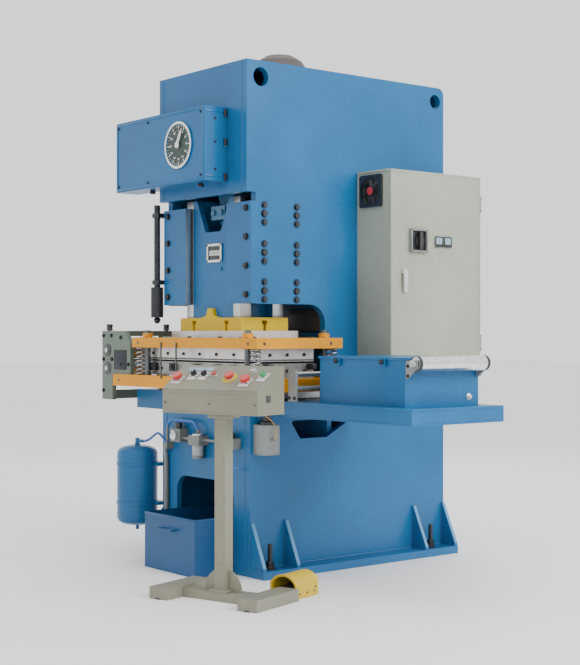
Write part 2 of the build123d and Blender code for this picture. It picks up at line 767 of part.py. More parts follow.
with BuildPart() as oil_box_lid:
    block(oil_box_left - 6, oil_box_right + 6, oil_box_front - 6, oil_box_back - 6, lid_bottom, oil_box_top)
    for x in (oil_box_left + 60, oil_box_right - 130):
        block(x + 2, x + 68, oil_box_back - 8, oil_box_back + 6, lid_bottom + 3, oil_box_top - 3)
        bar("X", (x + 2, oil_box_back + 8, lid_bottom + 2), 8, 66)
        bar("X", (x + 2, oil_box_back + 8, lid_bottom + 2), 4 + running_gap, 66, mode=Mode.SUBTRACT)
    for x in (oil_box_left + 120, oil_box_right - 160):
        block(x, x + 40, oil_box_front - 14, oil_box_front - 6, lid_bottom - 30, oil_box_top)

# Left roll unit: two cheeks with ties, and the pair of rolls that draw the strip
lower_roll_z = feed_pass - 1 - feed_roll_radius
upper_roll_z = feed_pass + 1 + feed_roll_radius
with BuildPart() as feed_roll_frame:
    for y in (feed_front, feed_back - feed_cheek):
        with BuildSketch(front_plane(y)):
            with BuildLine():
                Polyline((-feed_left, feed_bottom), (-left_shelf_end, feed_bottom),
                         (-left_shelf_end, lower_shoe_top), (-feed_right, lower_shoe_top),
                         (-feed_right, feed_top - 70), (-feed_right - 60, feed_top), (-feed_left, feed_top),
                         close=True)
            make_face()
            with Locations((feed_roll_x, lower_roll_z), (feed_roll_x, upper_roll_z)):
                Circle(journal_radius + running_gap, mode=Mode.SUBTRACT)
        extrude(amount=-feed_cheek)
    block(-feed_right - 90, -feed_right - 62, feed_front + feed_cheek, feed_back - feed_cheek,
          feed_top - 30, feed_top)
    block(-feed_left, 30 - feed_left, feed_front + feed_cheek, feed_back - feed_cheek,
          feed_bottom, feed_bottom + 50)
    for y in (feed_front + feed_cheek / 2, feed_back - feed_cheek / 2):
        bar("Z", (feed_roll_x, y, feed_top), 11, 26)


def feed_roll(z):
    """A feed roll with its journals, at height z."""
    bar("Y", (feed_roll_x, feed_front + feed_cheek + 2, z), feed_roll_radius,
        feed_back - feed_front - 2 * feed_cheek - 4)
    bar("Y", (feed_roll_x, feed_front - 12, z), journal_radius, feed_back - feed_front + 24)


with BuildPart() as lower_feed_roll:
    feed_roll(lower_roll_z)

with BuildPart() as upper_feed_roll:
    feed_roll(upper_roll_z)

# Control cabinet: open steel box, hinged door, fan, door instruments, isolator and latch
hinge_x = cabinet_right + 9
hinge_y = cabinet_back + 2
hinge_heights = (cabinet_bottom + 120, cabinet_top - 180)
handle_shaft = 8
door_face = cabinet_right + 0.5 + door_thickness
with BuildPart() as cabinet_body:
    block(outer, cabinet_right, cabinet_front, cabinet_back, cabinet_bottom, cabinet_top)
    block(outer + cabinet_sheet, cabinet_right, cabinet_front + cabinet_sheet, cabinet_back - cabinet_sheet,
          cabinet_bottom + cabinet_sheet, cabinet_top - cabinet_sheet, mode=Mode.SUBTRACT)
    bar("Y", (fan_x, cabinet_front, fan_z), fan_radius, cabinet_sheet, mode=Mode.SUBTRACT)
    for z in hinge_heights:
        block(cabinet_right - 6, hinge_x + 5, cabinet_back, hinge_y + 5, z - 14, z)
        block(cabinet_right - 6, hinge_x + 5, cabinet_back, hinge_y + 5, z + 60, z + 74)
        bar("Z", (hinge_x, hinge_y, z - 14), 3, 88)

with BuildPart() as cabinet_door:
    block(cabinet_right + 0.5, cabinet_right + 0.5 + door_thickness, cabinet_front + 1, cabinet_back - 5,
          cabinet_bottom + 1, cabinet_top - 1)
    for z in hinge_heights:
        block(hinge_x - 3, hinge_x + 3, cabinet_back - 6, hinge_y, z + 1, z + 59)
        bar("Z", (hinge_x, hinge_y, z + 1), 6, 58)
        bar("Z", (hinge_x, hinge_y, z + 1), 3 + running_gap, 58, mode=Mode.SUBTRACT)
    block(door_face, door_face + 5, handle_y - 60, handle_y + 60, handle_z - 60, handle_z + 60)
    for y in (handle_y + 155, handle_y + 220):
        block(door_face, door_face + 8, y - 28, y + 28, handle_z - 28, handle_z + 28)
    for y, z in ((handle_y, handle_z), (latch_y, latch_z)):
        bar("X", (cabinet_right, y, z), handle_shaft + running_gap, door_thickness + 6, mode=Mode.SUBTRACT)

with BuildPart() as isolator_handle:
    bar("X", (cabinet_right + 1, handle_y, handle_z), handle_shaft, door_face + 8 - cabinet_right)
    bar("X", (door_face + 6, handle_y, handle_z), 30, 12)
    block(door_face + 12, door_face + 34, handle_y - 11, handle_y + 11, handle_z - 45, handle_z + 45)

with BuildPart() as cabinet_latch:
    bar("X", (cabinet_right + 1, latch_y, latch_z), handle_shaft, door_face + 6 - cabinet_right)
    bar("X", (door_face + 1, latch_y, latch_z), 17, 14)
    block(door_face + 10, door_face + 22, latch_y - 12, latch_y + 12, latch_z - 105, latch_z + 10)

with BuildPart() as fan_frame:
    with BuildSketch(front_plane(cabinet_front - 14)):
        with Locations((fan_x, fan_z)):
            RectangleRounded(fan_size, fan_size, 12)
            Circle(fan_radius, mode=Mode.SUBTRACT)
            for angle in (30, 150, 270):
                with Locations(Location((0, 0), angle)):
                    with Locations((fan_radius / 2, 0)):
                        Rectangle(fan_radius + 4, 6)
            Circle(20)
    extrude(amount=-4)
    with BuildSketch(front_plane(cabinet_front - 10)):
        with Locations((fan_x, fan_z)):
            RectangleRounded(fan_size, fan_size, 12)
            Circle(fan_radius, mode=Mode.SUBTRACT)
    extrude(amount=-10)
    bar("Y", (fan_x, cabinet_front - 10, fan_z), 5, 26)

with BuildPart() as fan_rotor:
    bar("Y", (fan_x, cabinet_front - 8, fan_z), 24, 22)
    with Locations(Location((fan_x, cabinet_front + 3, fan_z), (90, 0, 0))):
        with PolarLocations(0, 7):
            with Locations(Location((43, 0, 0), (35, 0, 0))):
                Box(46, 22, 3)
    bar("Y", (fan_x, cabinet_front - 8, fan_z), 5 + running_gap, 22, mode=Mode.SUBTRACT)

# Console, built round its own centre and turned into place afterwards
console_place = Location((console_x, console_y, 0), (0, 0, console_turn))
slope_run = console_crest_y - console_front
slope_rise = console_crest - console_lip
slope_length = hypot(slope_run, slope_rise)
panel_normal = (0, -slope_rise / slope_length, slope_run / slope_length)


def panel_plane(u, v, lift=0):
    """The plane on the sloped panel, u across and v up the slope from its middle, raised by lift."""
    along = 0.5 + v / slope_length
    place = (u, console_front + slope_run * along + panel_normal[1] * lift,
             console_lip + slope_rise * along + panel_normal[2] * lift)
    return Plane(place, x_dir=(1, 0, 0), z_dir=panel_normal)


palm_left_at = (-232, -20)
selector_left_at = (-160, 15)
selector_right_at = (-100, 15)
lamp_left_at = (-40, 15)
stop_at = (60, -5)
palm_right_at = (165, -30)
lamp_right_at = (165, 45)
start_at = (236, 15)
stem_radius = 10
moving_controls = (palm_left_at, selector_left_at, selector_right_at, stop_at, palm_right_at, start_at)
with BuildPart() as console:
    with BuildSketch(side_plane(-console_half)):
        with BuildLine():
            Polyline((console_front, console_bottom), (console_front, console_lip),
                     (console_crest_y, console_crest), (console_back, console_crest),
                     (console_back, console_bottom), close=True)
        make_face()
    extrude(amount=2 * console_half)
    with BuildSketch(side_plane(console_sheet - console_half)):
        with BuildLine():
            Polyline((console_front, console_bottom), (console_front, console_lip),
                     (console_crest_y, console_crest), (console_back, console_crest),
                     (console_back, console_bottom), close=True)
        make_face()
        offset(amount=-console_sheet, mode=Mode.REPLACE)
    extrude(amount=2 * (console_half - console_sheet), mode=Mode.SUBTRACT)
    for u, v in moving_controls:
        with BuildSketch(panel_plane(u, v, -8)):
            Circle(stem_radius + running_gap)
        extrude(amount=14, mode=Mode.SUBTRACT)
    for u, v in (lamp_left_at, lamp_right_at):
        with BuildSketch(panel_plane(u, v)):
            Circle(14)
        extrude(amount=12)
    block(-post_size / 2, post_size / 2, -post_size / 2, post_size / 2,
          console_base_height - 15, console_bottom)
    block(console_foot_width - console_base_half, console_base_half - console_foot_width, -50, 50, 0,
          console_base_height - 15)
    for side in (-1, 1):
        x0, x1 = sorted((side * (console_base_half - console_foot_width), side * console_base_half))
        block(x0, x1, -console_foot_length / 2, console_foot_length / 2, 0, console_base_height)
    with BuildSketch(front_plane(-4)):
        with Locations((0, console_base_height - 15)):
            Circle(105)
        with Locations((0, console_base_height - 15 - 60)):
            Rectangle(240, 120, mode=Mode.SUBTRACT)
    extrude(amount=-8)


def disc(at, radius, lift, height):
    """A round disc that stands on the sloped panel from lift upwards."""
    with BuildSketch(panel_plane(*at, lift)) as profile:
        Circle(radius)
    extrude(profile.sketch, amount=height)


def knob(at, radius, height, lift=11):
    """A push head on its stem, standing on the sloped panel."""
    disc(at, stem_radius, -18, 18 + lift)
    disc(at, radius, lift, height)


def selector(at):
    """A turning selector on its stem, with a raised grip."""
    knob(at, 15, 10, 4.6)
    with BuildSketch(panel_plane(*at, 14.6)) as grip:
        Rectangle(10, 28)
    extrude(grip.sketch, amount=10)


with BuildPart() as palm_button_left:
    knob(palm_left_at, 24, 16)

with BuildPart() as palm_button_right:
    knob(palm_right_at, 24, 16)

with BuildPart() as emergency_stop:
    knob(stop_at, 22, 14)

with BuildPart() as start_button:
    knob(start_at, 14, 8)

with BuildPart() as selector_left:
    selector(selector_left_at)

with BuildPart() as selector_right:
    selector(selector_right_at)

# Foot switch beside the console: a hood open at the front, with a hinged pedal
pedal_pin_y = pedal_y + 70
with BuildPart() as foot_switch:
    with BuildSketch(front_plane(pedal_y - 95)):
        with BuildLine():
            Polyline((pedal_x + 70, 70), (pedal_x + 70, 0), (pedal_x - 70, 0), (pedal_x - 70, 70))
            ThreePointArc((pedal_x - 70, 70), (pedal_x, 110), (pedal_x + 70, 70))
        make_face()
    extrude(amount=-190)
    with BuildSketch(front_plane(pedal_y - 95)):
        with BuildLine():
            Polyline((pedal_x + 62, 66), (pedal_x + 62, 10), (pedal_x - 62, 10), (pedal_x - 62, 66))
            ThreePointArc((pedal_x - 62, 66), (pedal_x, 102), (pedal_x + 62, 66))
        make_face()
    extrude(amount=-182, mode=Mode.SUBTRACT)
    bar("X", (pedal_x - 70, pedal_pin_y, 40), 6 + running_gap, 140, mode=Mode.SUBTRACT)

with BuildPart() as foot_pedal:
    block(pedal_x - 50, pedal_x + 50, pedal_y - 80, pedal_pin_y, 36, 46)
    bar("X", (pedal_x - 70, pedal_pin_y, 40), 6, 140)

# Scrap bin with its pull handle
with BuildPart() as scrap_bin:
    block(bin_left, bin_right, bin_front, bin_back, 0, bin_height)
    block(bin_left + bin_sheet, bin_right - bin_sheet, bin_front + bin_sheet, bin_back - bin_sheet,
          bin_sheet, bin_height, mode=Mode.SUBTRACT)
    bin_middle = (bin_left + bin_right) / 2
    for x in (bin_middle - 60, bin_middle + 60):
        bar("Y", (x, bin_front - 30, 220), 5, 30)
    bar("X", (bin_middle - 65, bin_front - 30, 220), 5, 130)

# Air tank on two brackets
with BuildPart() as air_tank:
    with BuildSketch(Plane.XZ):
        with BuildLine():
            Line((0, tank_bottom), (0, tank_top))
            Polyline((0, tank_top), (tank_radius * 0.7, tank_top - 12), (tank_radius, tank_top - 45),
                     (tank_radius, tank_bottom + 45), (tank_radius * 0.7, tank_bottom + 12), (0, tank_bottom))
        make_face()
    revolve(axis=Axis.Z)
    for z in (tank_bottom + 115, tank_top - 110):
        block(0, -outer - tank_x, -12 - tank_y, foot_front + 25 - tank_y, z, z + 20)
    bar("Z", (0, 0, tank_top), 13, 40)
    bar("X", (0, 0, tank_top + 24), 9, 60)
    bar("Z", (0, 0, tank_bottom - 26), 9, 26)
air_tank.part = air_tank.part.moved(Location((tank_x, tank_y, 0)))

# Air service unit on the front of the bed: regulator, filter, valve, grey riser and the bent air pipe
unit_y = foot_front - 32
with BuildPart() as air_service_unit:
    block(-239, -150, foot_front - 55, foot_front, 646, 716)
    bar("Z", (-14, unit_y, 569), 30, 127)
    block(-63, 35, foot_front - 62, foot_front, 640, 690)
    block(199, 319, foot_front - 45, foot_front, 638, 692)
    bar("X", (-150, unit_y, 668), 8, 87)
    bar("X", (35, unit_y, 668), 8, 164)
    bar("Z", (-195, unit_y, 700), 6 + running_gap, 16, mode=Mode.SUBTRACT)
    with BuildLine() as pipe_path:
        FilletPolyline((-302, unit_y, 630), (-302, unit_y, 760), (-14, unit_y, 760), (-14, unit_y, 690),
                       radius=60)
    with BuildSketch(Plane(pipe_path.line @ 0, z_dir=pipe_path.line % 0)):
        RegularPolygon(8, 8)
    sweep()
    block(-316, -288, foot_front - 45, foot_front, 600, 640)
    bar("Z", (-340, foot_front - 14, 260), 14, 280)

with BuildPart() as regulator_knob:
    bar("Z", (-195, unit_y, 702), 6, 20)
    bar("Z", (-195, unit_y, 717), 19, 30)

# Lubricator on the right side plate
with BuildPart() as lubricator:
    block(outer, 490, 41, 135, 615, 765)
    bar("Z", (445, 88, 765), 22, 40)
    bar("X", (490, 88, 690), 9, 8)

# Post at the left of the gibs, on two brackets
with BuildPart() as swing_post:
    with BuildSketch(Plane.XZ):
        with BuildLine():
            Polyline((0, hang_bottom), (14, hang_bottom + 8), (20, hang_bottom + 24), (12, hang_bottom + 36),
                     (2 * hang_radius, hang_bottom + 36), (2 * hang_radius, hang_bottom + 201),
                     (hang_radius, hang_bottom + 201), (hang_radius, gib_top + 34), (0, gib_top + 34),
                     close=True)
        make_face()
    revolve(axis=Axis.Z)
    for z in (gib_bottom + 114, gib_top - 35):
        block(-20, -outer - hang_x, -20, gib_front + 30 - hang_y, z, z + 24)
swing_post.part = swing_post.part.moved(Location((hang_x, hang_y, 0)))

console_pieces = {
    "console": console, "palm_button_left": palm_button_left, "palm_button_right": palm_button_right,
    "emergency_stop": emergency_stop, "start_button": start_button, "selector_left": selector_left,
    "selector_right": selector_right, "foot_switch": foot_switch, "foot_pedal": foot_pedal,
}
pieces = {
    "feet": feet, "side_plate_right": side_plate_right, "side_plate_left": side_plate_left, "crown": crown,
    "inner_walls": inner_walls, "bed": bed, "bolster": bolster, "rear_guard": rear_guard,
    "guide_gibs": guide_gibs, "gib_cover_plates": gib_cover_plates, "fasteners": fasteners,
    "cover_box": cover_box, "crown_dome": crown_dome, "crank_bearings": crank_bearings,
    "crankshaft": crankshaft, "dial_pointer": dial_pointer, "connecting_rod": connecting_rod, "slide": slide,
    "slide_plate": slide_plate, "pressure_plate": pressure_plate, "upper_die_shoe": upper_die_shoe,
    "lower_die_shoe": lower_die_shoe, "guide_posts": guide_posts, "die_springs": die_springs,
    "upper_die_block": upper_die_block, "lower_die_block": lower_die_block, "flywheel": flywheel,
    "motor": motor, "motor_pulley": motor_pulley, "drive_belts": drive_belts, "shelves": shelves,
    "roller_stands": roller_stands, "entry_roller": entry_roller,
    "guide_roller": guide_roller, "oil_box": oil_box,
    "oil_box_lid": oil_box_lid, "feed_roll_frame": feed_roll_frame, "lower_feed_roll": lower_feed_roll,
    "upper_feed_roll": upper_feed_roll, "cabinet_body": cabinet_body, "cabinet_door": cabinet_door,
    "isolator_handle": isolator_handle,
    "cabinet_latch": cabinet_latch, "fan_frame": fan_frame, "fan_rotor": fan_rotor, "scrap_bin": scrap_bin,
    "air_tank": air_tank, "air_service_unit": air_service_unit, "regulator_knob": regulator_knob,
    "lubricator": lubricator, "swing_post": swing_post,
}
for name, piece in pieces.items():
    piece.part.label = name
    export_step(piece.part, f"parts/{name}.step")
for name, piece in console_pieces.items():
    placed = piece.part.moved(console_place)
    placed.label = name
    export_step(placed, f"parts/{name}.step")
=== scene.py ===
from math import atan2, cos, pi, radians, sin

import bmesh
import bpy
from mathutils import Matrix, Vector


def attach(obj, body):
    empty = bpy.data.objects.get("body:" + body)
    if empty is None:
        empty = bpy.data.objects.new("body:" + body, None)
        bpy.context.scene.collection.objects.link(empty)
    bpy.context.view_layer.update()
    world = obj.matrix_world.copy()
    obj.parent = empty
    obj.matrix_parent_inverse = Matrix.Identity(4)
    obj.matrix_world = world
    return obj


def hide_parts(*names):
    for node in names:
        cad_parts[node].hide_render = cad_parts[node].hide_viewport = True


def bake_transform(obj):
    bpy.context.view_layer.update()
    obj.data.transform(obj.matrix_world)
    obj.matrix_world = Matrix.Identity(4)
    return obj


# Looks of a C-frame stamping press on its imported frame. Metres, X right seen from the front, Y back, Z up.
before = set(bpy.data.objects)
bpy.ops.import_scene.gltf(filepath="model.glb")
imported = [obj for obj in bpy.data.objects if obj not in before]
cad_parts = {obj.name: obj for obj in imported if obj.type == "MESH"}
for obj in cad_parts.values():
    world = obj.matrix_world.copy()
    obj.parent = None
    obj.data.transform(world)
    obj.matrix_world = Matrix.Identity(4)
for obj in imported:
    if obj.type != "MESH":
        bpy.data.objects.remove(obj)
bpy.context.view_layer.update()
X, Y, Z = Vector((1, 0, 0)), Vector((0, 1, 0)), Vector((0, 0, 1))


def linked(name, data):
    """A new object that stands in the scene."""
    made = bpy.data.objects.new(name, data)
    bpy.context.scene.collection.objects.link(made)
    return made


# Camera at the place of the photograph's camera, level, turned towards the press
photo_focal = 696.277
photo_height = 665
closer = 1.95
sensor_height = 36
camera_place = (5.83, -4.0769, 1.2277)
camera_turn = radians(51.3)
camera_data = bpy.data.cameras.new("camera")
camera_data.sensor_fit = "VERTICAL"
camera_data.sensor_height = sensor_height
camera_data.lens = photo_focal * closer * sensor_height / photo_height
camera = linked("camera", camera_data)
camera.location = camera_place
camera.rotation_euler = (pi / 2, 0, camera_turn)
bpy.context.scene.camera = camera


# Materials
def nodes_of(name):
    """A new material with its node tree and its Principled shader."""
    made = bpy.data.materials.new(name)
    made.use_nodes = True
    tree = made.node_tree
    return made, tree, tree.nodes["Principled BSDF"]


def noise(tree, scale, detail=4, stretch=(1, 1, 1)):
    """Noise in the object's own metres; stretch squeezes it along an axis."""
    place = tree.nodes.new("ShaderNodeTexCoord")
    mapping = tree.nodes.new("ShaderNodeMapping")
    mapping.inputs["Scale"].default_value = stretch
    made = tree.nodes.new("ShaderNodeTexNoise")
    made.inputs["Scale"].default_value = scale
    made.inputs["Detail"].default_value = detail
    tree.links.new(place.outputs["Object"], mapping.inputs["Vector"])
    tree.links.new(mapping.outputs["Vector"], made.inputs["Vector"])
    return made.outputs["Fac"]


def ramp(tree, value, low, high, colour_low, colour_high):
    """A colour that goes from one to the other as the value goes from low to high."""
    made = tree.nodes.new("ShaderNodeValToRGB")
    made.color_ramp.elements[0].position = low
    made.color_ramp.elements[1].position = high
    made.color_ramp.elements[0].color = (*colour_low, 1)
    made.color_ramp.elements[1].color = (*colour_high, 1)
    tree.links.new(value, made.inputs["Fac"])
    return made.outputs["Color"]


def mixed(tree, factor, first, second, kind="MIX"):
    """Two colours mixed by a factor from another node."""
    made = tree.nodes.new("ShaderNodeMix")
    made.data_type = "RGBA"
    made.blend_type = kind
    tree.links.new(factor, made.inputs["Factor"])
    for place, colour in ((6, first), (7, second)):
        if isinstance(colour, tuple):
            made.inputs[place].default_value = (*colour, 1)
        else:
            tree.links.new(colour, made.inputs[place])
    return made.outputs[2]


def bump(tree, shader, value, strength, distance):
    """Relief from a value, in metres."""
    made = tree.nodes.new("ShaderNodeBump")
    made.inputs["Strength"].default_value = strength
    made.inputs["Distance"].default_value = distance
    tree.links.new(value, made.inputs["Height"])
    tree.links.new(made.outputs["Normal"], shader.inputs["Normal"])


def spread(tree, value, low, high, reach=1.0):
    """A value from low to high while another goes from zero to its reach."""
    made = tree.nodes.new("ShaderNodeMapRange")
    made.inputs["From Max"].default_value = reach
    made.inputs["To Min"].default_value = low
    made.inputs["To Max"].default_value = high
    tree.links.new(value, made.inputs["Value"])
    return made.outputs["Result"]


def roughness(tree, shader, value, low, high):
    """Roughness that varies between low and high with a value."""
    tree.links.new(spread(tree, value, low, high), shader.inputs["Roughness"])


def height_of(tree):
    """The height in the object's own metres."""
    place = tree.nodes.new("ShaderNodeTexCoord")
    split = tree.nodes.new("ShaderNodeSeparateXYZ")
    tree.links.new(place.outputs["Object"], split.inputs["Vector"])
    return split.outputs["Z"]


def math_node(tree, operation, first, second):
    """Two values put together by a Math node."""
    made = tree.nodes.new("ShaderNodeMath")
    made.operation = operation
    tree.links.new(first, made.inputs[0])
    if isinstance(second, float):
        made.inputs[1].default_value = second
    else:
        tree.links.new(second, made.inputs[1])
    return made.outputs["Value"]


def shade(colour, factor):
    """A colour made lighter or darker."""
    return tuple(min(1.0, c * factor) for c in colour)


def paint(name, colour, gloss=0.32, dust=0.5, chips=True):
    """Machine enamel: faint mottling, dust that thickens near the floor, small chips and orange peel."""
    made, tree, shader = nodes_of(name)
    broad = noise(tree, 2.3, 5)
    fine = noise(tree, 38, 6)
    tone = ramp(tree, broad, 0.3, 0.7, shade(colour, 0.86), shade(colour, 1.1))
    mottle = ramp(tree, fine, 0.35, 0.75, (0, 0, 0), (0.35, 0.35, 0.35))
    tone = mixed(tree, mottle, tone, shade(colour, 0.72))
    patch = math_node(tree, "MULTIPLY", spread(tree, height_of(tree), dust, 0.0, 0.55), noise(tree, 7, 7))
    tone = mixed(tree, patch, tone, (0.19, 0.17, 0.14))
    if chips:
        spots = ramp(tree, noise(tree, 55, 8, (1, 1, 0.6)), 0.735, 0.75, (0, 0, 0), (1, 1, 1))
        tone = mixed(tree, spots, tone, shade(colour, 0.35))
    tree.links.new(tone, shader.inputs["Base Color"])
    roughness(tree, shader, broad, gloss - 0.07, gloss + 0.13)
    bump(tree, shader, noise(tree, 240, 2), 0.16, 0.0006)
    shader.inputs["Specular IOR Level"].default_value = 0.3
    shader.inputs["Coat Weight"].default_value = 0.06
    shader.inputs["Coat Roughness"].default_value = 0.2
    return made


def steel(name, colour, rough=0.3, stretch=(1, 1, 40), grain=30, stain=0.35):
    """Machined steel: fine tool lines, uneven gloss and oily stains."""
    made, tree, shader = nodes_of(name)
    lines = noise(tree, grain, 3, stretch)
    cloud = noise(tree, 9, 6)
    tone = ramp(tree, lines, 0.3, 0.7, shade(colour, 0.84), shade(colour, 1.08))
    stains = ramp(tree, cloud, 0.45, 0.75, (0, 0, 0), (stain, stain, stain))
    tone = mixed(tree, stains, tone, shade(colour, 0.45))
    tree.links.new(tone, shader.inputs["Base Color"])
    roughness(tree, shader, cloud, rough - 0.08, rough + 0.18)
    bump(tree, shader, lines, 0.12, 0.0004)
    shader.inputs["Metallic"].default_value = 0.9
    return made


def moulded(name, colour, rough=0.35, coat=0.3):
    """Moulded plastic or rubber: near-even colour with a fine skin."""
    made, tree, shader = nodes_of(name)
    cloud = noise(tree, 60, 5)
    tree.links.new(ramp(tree, cloud, 0.3, 0.75, shade(colour, 0.82), shade(colour, 1.12)),
                   shader.inputs["Base Color"])
    roughness(tree, shader, cloud, rough - 0.05, rough + 0.12)
    bump(tree, shader, noise(tree, 900, 2), 0.1, 0.0002)
    shader.inputs["Coat Weight"].default_value = coat
    return made


def clear(name, colour, rough=0.08):
    """Tinted clear plastic or lens glass."""
    made, tree, shader = nodes_of(name)
    tone = ramp(tree, noise(tree, 25, 3), 0.3, 0.7, shade(colour, 0.9), colour)
    tree.links.new(tone, shader.inputs["Base Color"])
    shader.inputs["Roughness"].default_value = rough
    shader.inputs["Transmission Weight"].default_value = 0.55
    shader.inputs["IOR"].default_value = 1.49
    return made


def zoned(name, low_colour, high_colour, height):
    """Painted metal in one colour below a height and in another above it."""
    made, tree, shader = nodes_of(name)
    above = math_node(tree, "GREATER_THAN", height_of(tree), height)
    cloud = noise(tree, 40, 5)
    lower = ramp(tree, cloud, 0.3, 0.7, shade(low_colour, 0.8), shade(low_colour, 1.1))
    upper = ramp(tree, cloud, 0.3, 0.7, shade(high_colour, 0.8), shade(high_colour, 1.1))
    tree.links.new(mixed(tree, above, lower, upper), shader.inputs["Base Color"])
    roughness(tree, shader, cloud, 0.3, 0.5)
    bump(tree, shader, cloud, 0.08, 0.0003)
    return made


blue = paint("machine_blue", (0.011, 0.125, 0.305), dust=0.06)
# Pale blue that paints the highlight which the gusset edges catch
highlight_blue = paint("painted_highlight_edge_blue", (0.1, 0.3, 0.52), dust=0.1, chips=False)
boss_blue = paint("boss_blue", (0.05, 0.16, 0.3), chips=False)
deep_blue = paint("tank_blue", (0.008, 0.11, 0.275), dust=0.06)
bin_blue = paint("bin_blue", (0.004, 0.07, 0.2), dust=0.04)
beige = paint("cabinet_beige", (0.345, 0.375, 0.3), 0.38, 0.05, False)
drab = paint("console_beige", (0.24, 0.235, 0.175), 0.42, 0.1)
yellow = paint("plate_yellow", (0.62, 0.42, 0.0), 0.5, 0)
orange = paint("shoe_orange", (0.7, 0.29, 0.0), 0.5, 0)
feed_green = paint("feed_grey_green", (0.135, 0.175, 0.14), 0.45, 0)
brown = paint("cap_brown", (0.085, 0.075, 0.07), 0.5, 0, False)
white = paint("enamel_white", (0.78, 0.78, 0.75), 0.3, 0, False)
dial_green = paint("dial_green", (0.035, 0.06, 0.055), 0.35, 0, False)
unit_grey = zoned("air_unit_grey", (0.17, 0.18, 0.17), (0.02, 0.13, 0.42), 0.722)
grey = paint("grey_paint", (0.24, 0.26, 0.26), 0.45, 0.1)
foot_yellow = paint("foot_switch_yellow", (0.68, 0.47, 0.008), 0.4, 0.2)
bright = steel("bright_steel", (0.62, 0.63, 0.62))
pale_steel = steel("pale_steel", (0.7, 0.69, 0.65), 0.36, (40, 1, 1))
# Dark grey for the guide posts paints the shadow under the upper shoe into their steel colour
post_steel_painted_shade = steel("post_steel_painted_shade", (0.13, 0.14, 0.15), 0.24, (1, 1, 1), 60, 0.2)
die_steel = steel("die_steel", (0.36, 0.36, 0.35), 0.38, (40, 1, 1))
dark_steel = steel("black_steel", (0.055, 0.058, 0.065), 0.42, (1, 1, 1), 80)
spring_steel = steel("spring_steel", (0.42, 0.43, 0.45), 0.32, (1, 1, 1), 90, 0.2)
cast = steel("cast_grey", (0.14, 0.145, 0.15), 0.5, (1, 1, 1), 60)
bronze = steel("bronze", (0.55, 0.36, 0.14), 0.32, (1, 30, 1), 40)
chrome = steel("chrome", (0.78, 0.79, 0.8), 0.14, (1, 1, 1), 50, 0.1)
black = moulded("black_plastic", (0.016, 0.016, 0.018))
rubber = moulded("rubber", (0.022, 0.022, 0.024), 0.65, 0)
red = moulded("red_plastic", (0.52, 0.022, 0.018), 0.28, 0.6)
green = moulded("green_plastic", (0.02, 0.3, 0.07), 0.28, 0.6)
legend_blue = moulded("legend_blue", (0.26, 0.42, 0.52), 0.4, 0.2)
hose_blue = moulded("hose_blue", (0.02, 0.12, 0.38), 0.4, 0.3)
vent_grey = moulded("vent_grey", (0.045, 0.05, 0.055), 0.5, 0.1)
shell_grey = moulded("shell_grey", (0.2, 0.21, 0.21), 0.4, 0.2)
tank_clear = clear("reservoir_plastic", (0.52, 0.56, 0.56), 0.3)
hose_black = moulded("hose_black", (0.03, 0.03, 0.035), 0.5, 0.1)
red_lens = clear("red_lens", (0.75, 0.05, 0.03))
white_lens = clear("white_lens", (0.86, 0.88, 0.86))
bowl = clear("filter_bowl", (0.72, 0.78, 0.8))
weld = steel("painted_weld", (0.011, 0.115, 0.285), 0.4, (60, 1, 1), 45)
weld.node_tree.nodes["Principled BSDF"].inputs["Metallic"].default_value = 0.0

finishes = {
    blue: ("feet", "side_plate_right", "side_plate_left", "crown", "inner_walls", "bed", "rear_guard",
           "gib_cover_plates", "cover_box", "slide", "motor", "shelves", "oil_box", "oil_box_lid"),
    bin_blue: ("scrap_bin",),
    deep_blue: ("air_tank",),
    beige: ("cabinet_body", "cabinet_door"),
    drab: ("console",),
    yellow: ("slide_plate",),
    orange: ("upper_die_shoe", "lower_die_shoe"),
    feed_green: ("feed_roll_frame",),
    brown: ("crown_dome",),
    white: ("dial_pointer",),
    grey: ("roller_stands",),
    unit_grey: ("air_service_unit",),
    foot_yellow: ("foot_switch",),
    bright: ("bolster", "pressure_plate", "entry_roller", "lower_feed_roll", "upper_feed_roll"),
    pale_steel: ("upper_die_block",),
    die_steel: ("lower_die_block",),
    dark_steel: ("fasteners", "foot_pedal", "swing_post"),
    spring_steel: ("die_springs",),
    cast: ("guide_gibs", "flywheel", "motor_pulley", "crankshaft"),
    boss_blue: ("connecting_rod",),
    bronze: ("crank_bearings",),
    chrome: ("guide_roller", "cabinet_latch"),
    # Guide posts carry painted shade in their colour
    post_steel_painted_shade: ("guide_posts",),
    black: ("isolator_handle", "fan_frame", "fan_rotor", "regulator_knob", "selector_left",
        "selector_right"),
    rubber: ("drive_belts",),
    red: ("palm_button_left", "palm_button_right", "emergency_stop"),
    green: ("start_button",),
    tank_clear: ("lubricator",),
}
for finish, names in finishes.items():
    for name in names:
        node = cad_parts[name]
        node.data.materials.clear()
        node.data.materials.append(finish)


# Shapes
def turned_to(axis):
    """The rotation that takes +Z to an axis."""
    return Z.rotation_difference(Vector(axis)).to_matrix().to_4x4()


